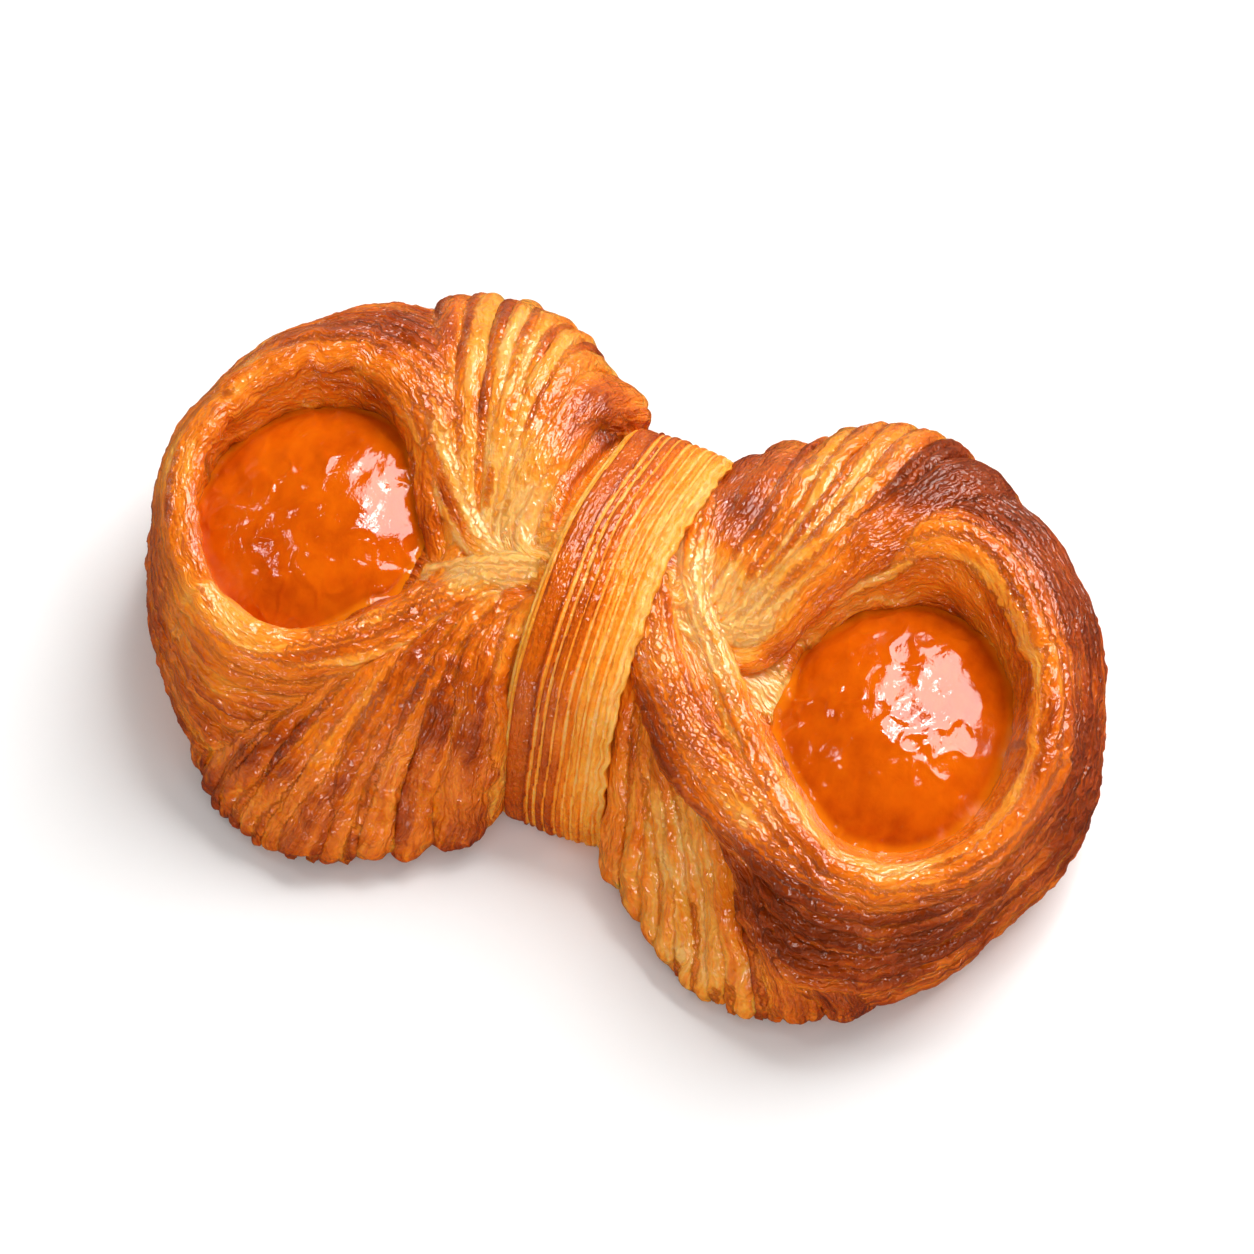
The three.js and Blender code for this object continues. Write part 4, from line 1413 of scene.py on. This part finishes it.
fruitFinish = {
    "flesh": (0.64, 0.093, 0.0006),
    "deep": (0.47, 0.052, 0.0003),
    "pale": (0.76, 0.135, 0.001),
    "edge": (0.86, 0.210, 0.003),    # thin glaze pooled against the dough, painted paler also to offset the shade at the seam: partly painted light
    "bump": 0.32,
    "bumpDistance": 0.0006,
    "dents": 0.17,
    "noises": {  # the space each is measured in, its scale, detail and start
        "clouds": ("object", (110, 110, 110), 4, 2.2),
        "veins": ("object", (420, 260, 300), 5, 7.7),
        "ripples": ("object", (420, 300, 300), 4, 4.4),
        "tears": ("object", (330, 250, 260), 1, 9.9),
        "patches": ("object", (150, 150, 150), 1, 3.6),
    },
    "shader": {
        "Roughness": 0.4,
        "Specular IOR Level": 0.0,
        "Subsurface Weight": 0.2,
        "Subsurface Radius": (1.0, 0.25, 0.03),
        "Subsurface Scale": 0.004,
        "Coat Weight": 1.0,
        "Coat Roughness": 0.015,
        "Coat IOR": 1.6,
    },
}


def makeFruitMaterial():
    material, tree = newMaterial("glazedApricot")
    noise = noises(tree, fruitFinish["noises"])
    mixed = mathNode(tree, "ADD", mathNode(tree, "MULTIPLY", noise["clouds"], 0.7),
                     mathNode(tree, "MULTIPLY", noise["veins"], 0.3))
    colour = colourRamp(tree, mixed, [(0.3, fruitFinish["deep"]), (0.5, fruitFinish["flesh"]),
                                      (0.72, fruitFinish["pale"])])
    tears = mathNode(tree, "MULTIPLY", fromMiddle(tree, noise["tears"]), 9.0, clamp=True)
    patches = mathNode(tree, "SUBTRACT", noise["patches"], 0.5)
    patches = mathNode(tree, "MULTIPLY", patches, 8.0, clamp=True)
    dents = mathNode(tree, "MULTIPLY", mathNode(tree, "MULTIPLY", tears, patches), fruitFinish["dents"])
    height = mathNode(tree, "ADD", noise["ripples"], dents)
    normal = bumpFrom(tree, height, fruitFinish["bump"], fruitFinish["bumpDistance"])
    surface(tree, {
        **fruitFinish["shader"],
        "Base Color": mixColours(tree, attribute(tree, "edge"), colour, fruitFinish["edge"]),
        "Normal": normal,
        "Coat Normal": normal,
    })
    return material


glazedApricot = makeFruitMaterial()
for side, sideName in ((-1, "left"), (1, "right")):
    grid = glazedFruit(side)
    rows, columns = grid.shape[:2]
    quads, caps = loftFaces(rows, columns)
    points = withEnds(grid)
    half = meshObject(f"apricot_{sideName}", points, list(quads) + list(caps))
    # Paler towards the dough: glaze pooled at the seam, and painted light over the seam's shade.
    setValues(half, edge=0.8 * (1 - smoothStep(doughDistance(points), 0.2, 1.8)))
    half.data.materials.append(glazedApricot)
    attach(half, "root")
    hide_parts(f"apricot_half_{sideName}")
print("fruit made")


# Table, light and camera.

studio = {
    "turn": 21.96,        # degrees, the camera's azimuth and elevation
    "tilt": 60,
    "distance": 550.7,
    "aim": (2.74, 3.82, 20),
    "lens": 100,
    "tableSize": 6,
    "tableColour": (0.93, 0.925, 0.92),
    "softbox": {"size": 0.75, "distance": 1.0, "watts": 12.1, "way": (0.45, 0.5, 0.73)},
    "lampHigh": {"size": 0.14, "distance": 1.0, "watts": 1.3, "way": (0.2, 0.35, 0.9)},
    "lampLeft": {"size": 0.12, "distance": 1.0, "watts": 0.45, "way": (-0.45, 0.2, 0.85)},
    "lampFront": {"size": 0.3, "distance": 1.2, "watts": 2.2, "way": (-0.35, -0.85, 0.36)},
    "lampRight": {"size": 0.3, "distance": 1.2, "watts": 1.9, "way": (0.55, -0.75, 0.36)},
    "fill": {"size": 2.2, "distance": 1.6, "watts": 7.5, "way": (-0.3, -0.95, 0.55)},
    "ceiling": {"size": 2.4, "distance": 1.8, "watts": 12, "way": (0.1, 0.0, 1.0)},
    "horizon": (0.38, 0.31, 0.22),
    "zenith": (0.02, 0.02, 0.02),
    "underTable": (0.03, 0.03, 0.03),
    "tableSheen": (0.6, 0.5, 0.38),    # what the dough's walls mirror of the warm light on the table
}

turn, tilt = math.radians(studio["turn"]), math.radians(studio["tilt"])
backWay = Vector((math.sin(turn) * math.cos(tilt), -math.cos(turn) * math.cos(tilt), math.sin(tilt)))
rightWay = Vector((math.cos(turn), math.sin(turn), 0))
awayWay = Vector((-math.sin(turn), math.cos(turn), 0))
aim = bowMiddle + Vector(studio["aim"]) * mm

cameraData = bpy.data.cameras.new("camera")
cameraData.lens = studio["lens"]
cameraData.sensor_width = 36
cameraData.clip_start = 0.01
camera = newObject("camera", cameraData)
camera.location = aim + backWay * studio["distance"] * mm
camera.rotation_euler = (-backWay).to_track_quat("-Z", "Y").to_euler()
bpy.context.scene.camera = camera


def addSoftbox(name, settings):
    light = bpy.data.lights.new(name, "AREA")
    light.shape = "SQUARE"
    light.size = settings["size"]
    light.energy = settings["watts"]
    made = newObject(name, light)
    right, away, up = settings["way"]
    way = (rightWay * right + awayWay * away + Vector((0, 0, up))).normalized()
    made.location = aim + way * settings["distance"]
    made.rotation_euler = (-way).to_track_quat("-Z", "Y").to_euler()
    return made


for lightName in ("softbox", "lampHigh", "lampLeft", "lampFront", "lampRight"):
    addSoftbox(lightName, studio[lightName])
for lightName in ("fill", "ceiling"):
    addSoftbox(lightName, studio[lightName]).visible_glossy = False

world = bpy.data.worlds.new("studio")
bpy.context.scene.world = world
world.use_nodes = True
worldTree = world.node_tree
heading = node(worldTree, "ShaderNodeTexCoord").outputs["Generated"]
split = node(worldTree, "ShaderNodeSeparateXYZ", Vector=heading)
lifted = mathNode(worldTree, "ADD", mathNode(worldTree, "MULTIPLY", split.outputs["Z"], 0.5), 0.5)
sky = colourRamp(worldTree, lifted, [
    (0.30, studio["underTable"]),
    (0.36, studio["tableSheen"]),
    (0.42, studio["tableSheen"]),
    (0.48, studio["underTable"]),
    (0.52, studio["horizon"]),
    (0.57, studio["horizon"]),
    (0.73, studio["zenith"]),
])
feed(worldTree, worldTree.nodes["Background"].inputs["Color"], sky)

tableMesh = bpy.data.meshes.new("table")
corners = ((-1, -1), (1, -1), (1, 1), (-1, 1))
tableMesh.from_pydata([(x * studio["tableSize"] / 2, y * studio["tableSize"] / 2, 0) for x, y in corners],
                      [], [(0, 1, 2, 3)])
table = newObject("table", tableMesh)
table.location.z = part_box("pastry_body")[0].z
tableMaterial, tableTree = newMaterial("paleTable")
surface(tableTree, {"Roughness": 0.9, "Base Color": (*studio["tableColour"], 1)})
tableMesh.materials.append(tableMaterial)
table.visible_glossy = False

view = bpy.context.scene.view_settings
view.view_transform = "Standard"
view.look = "None"
print("studio ready")
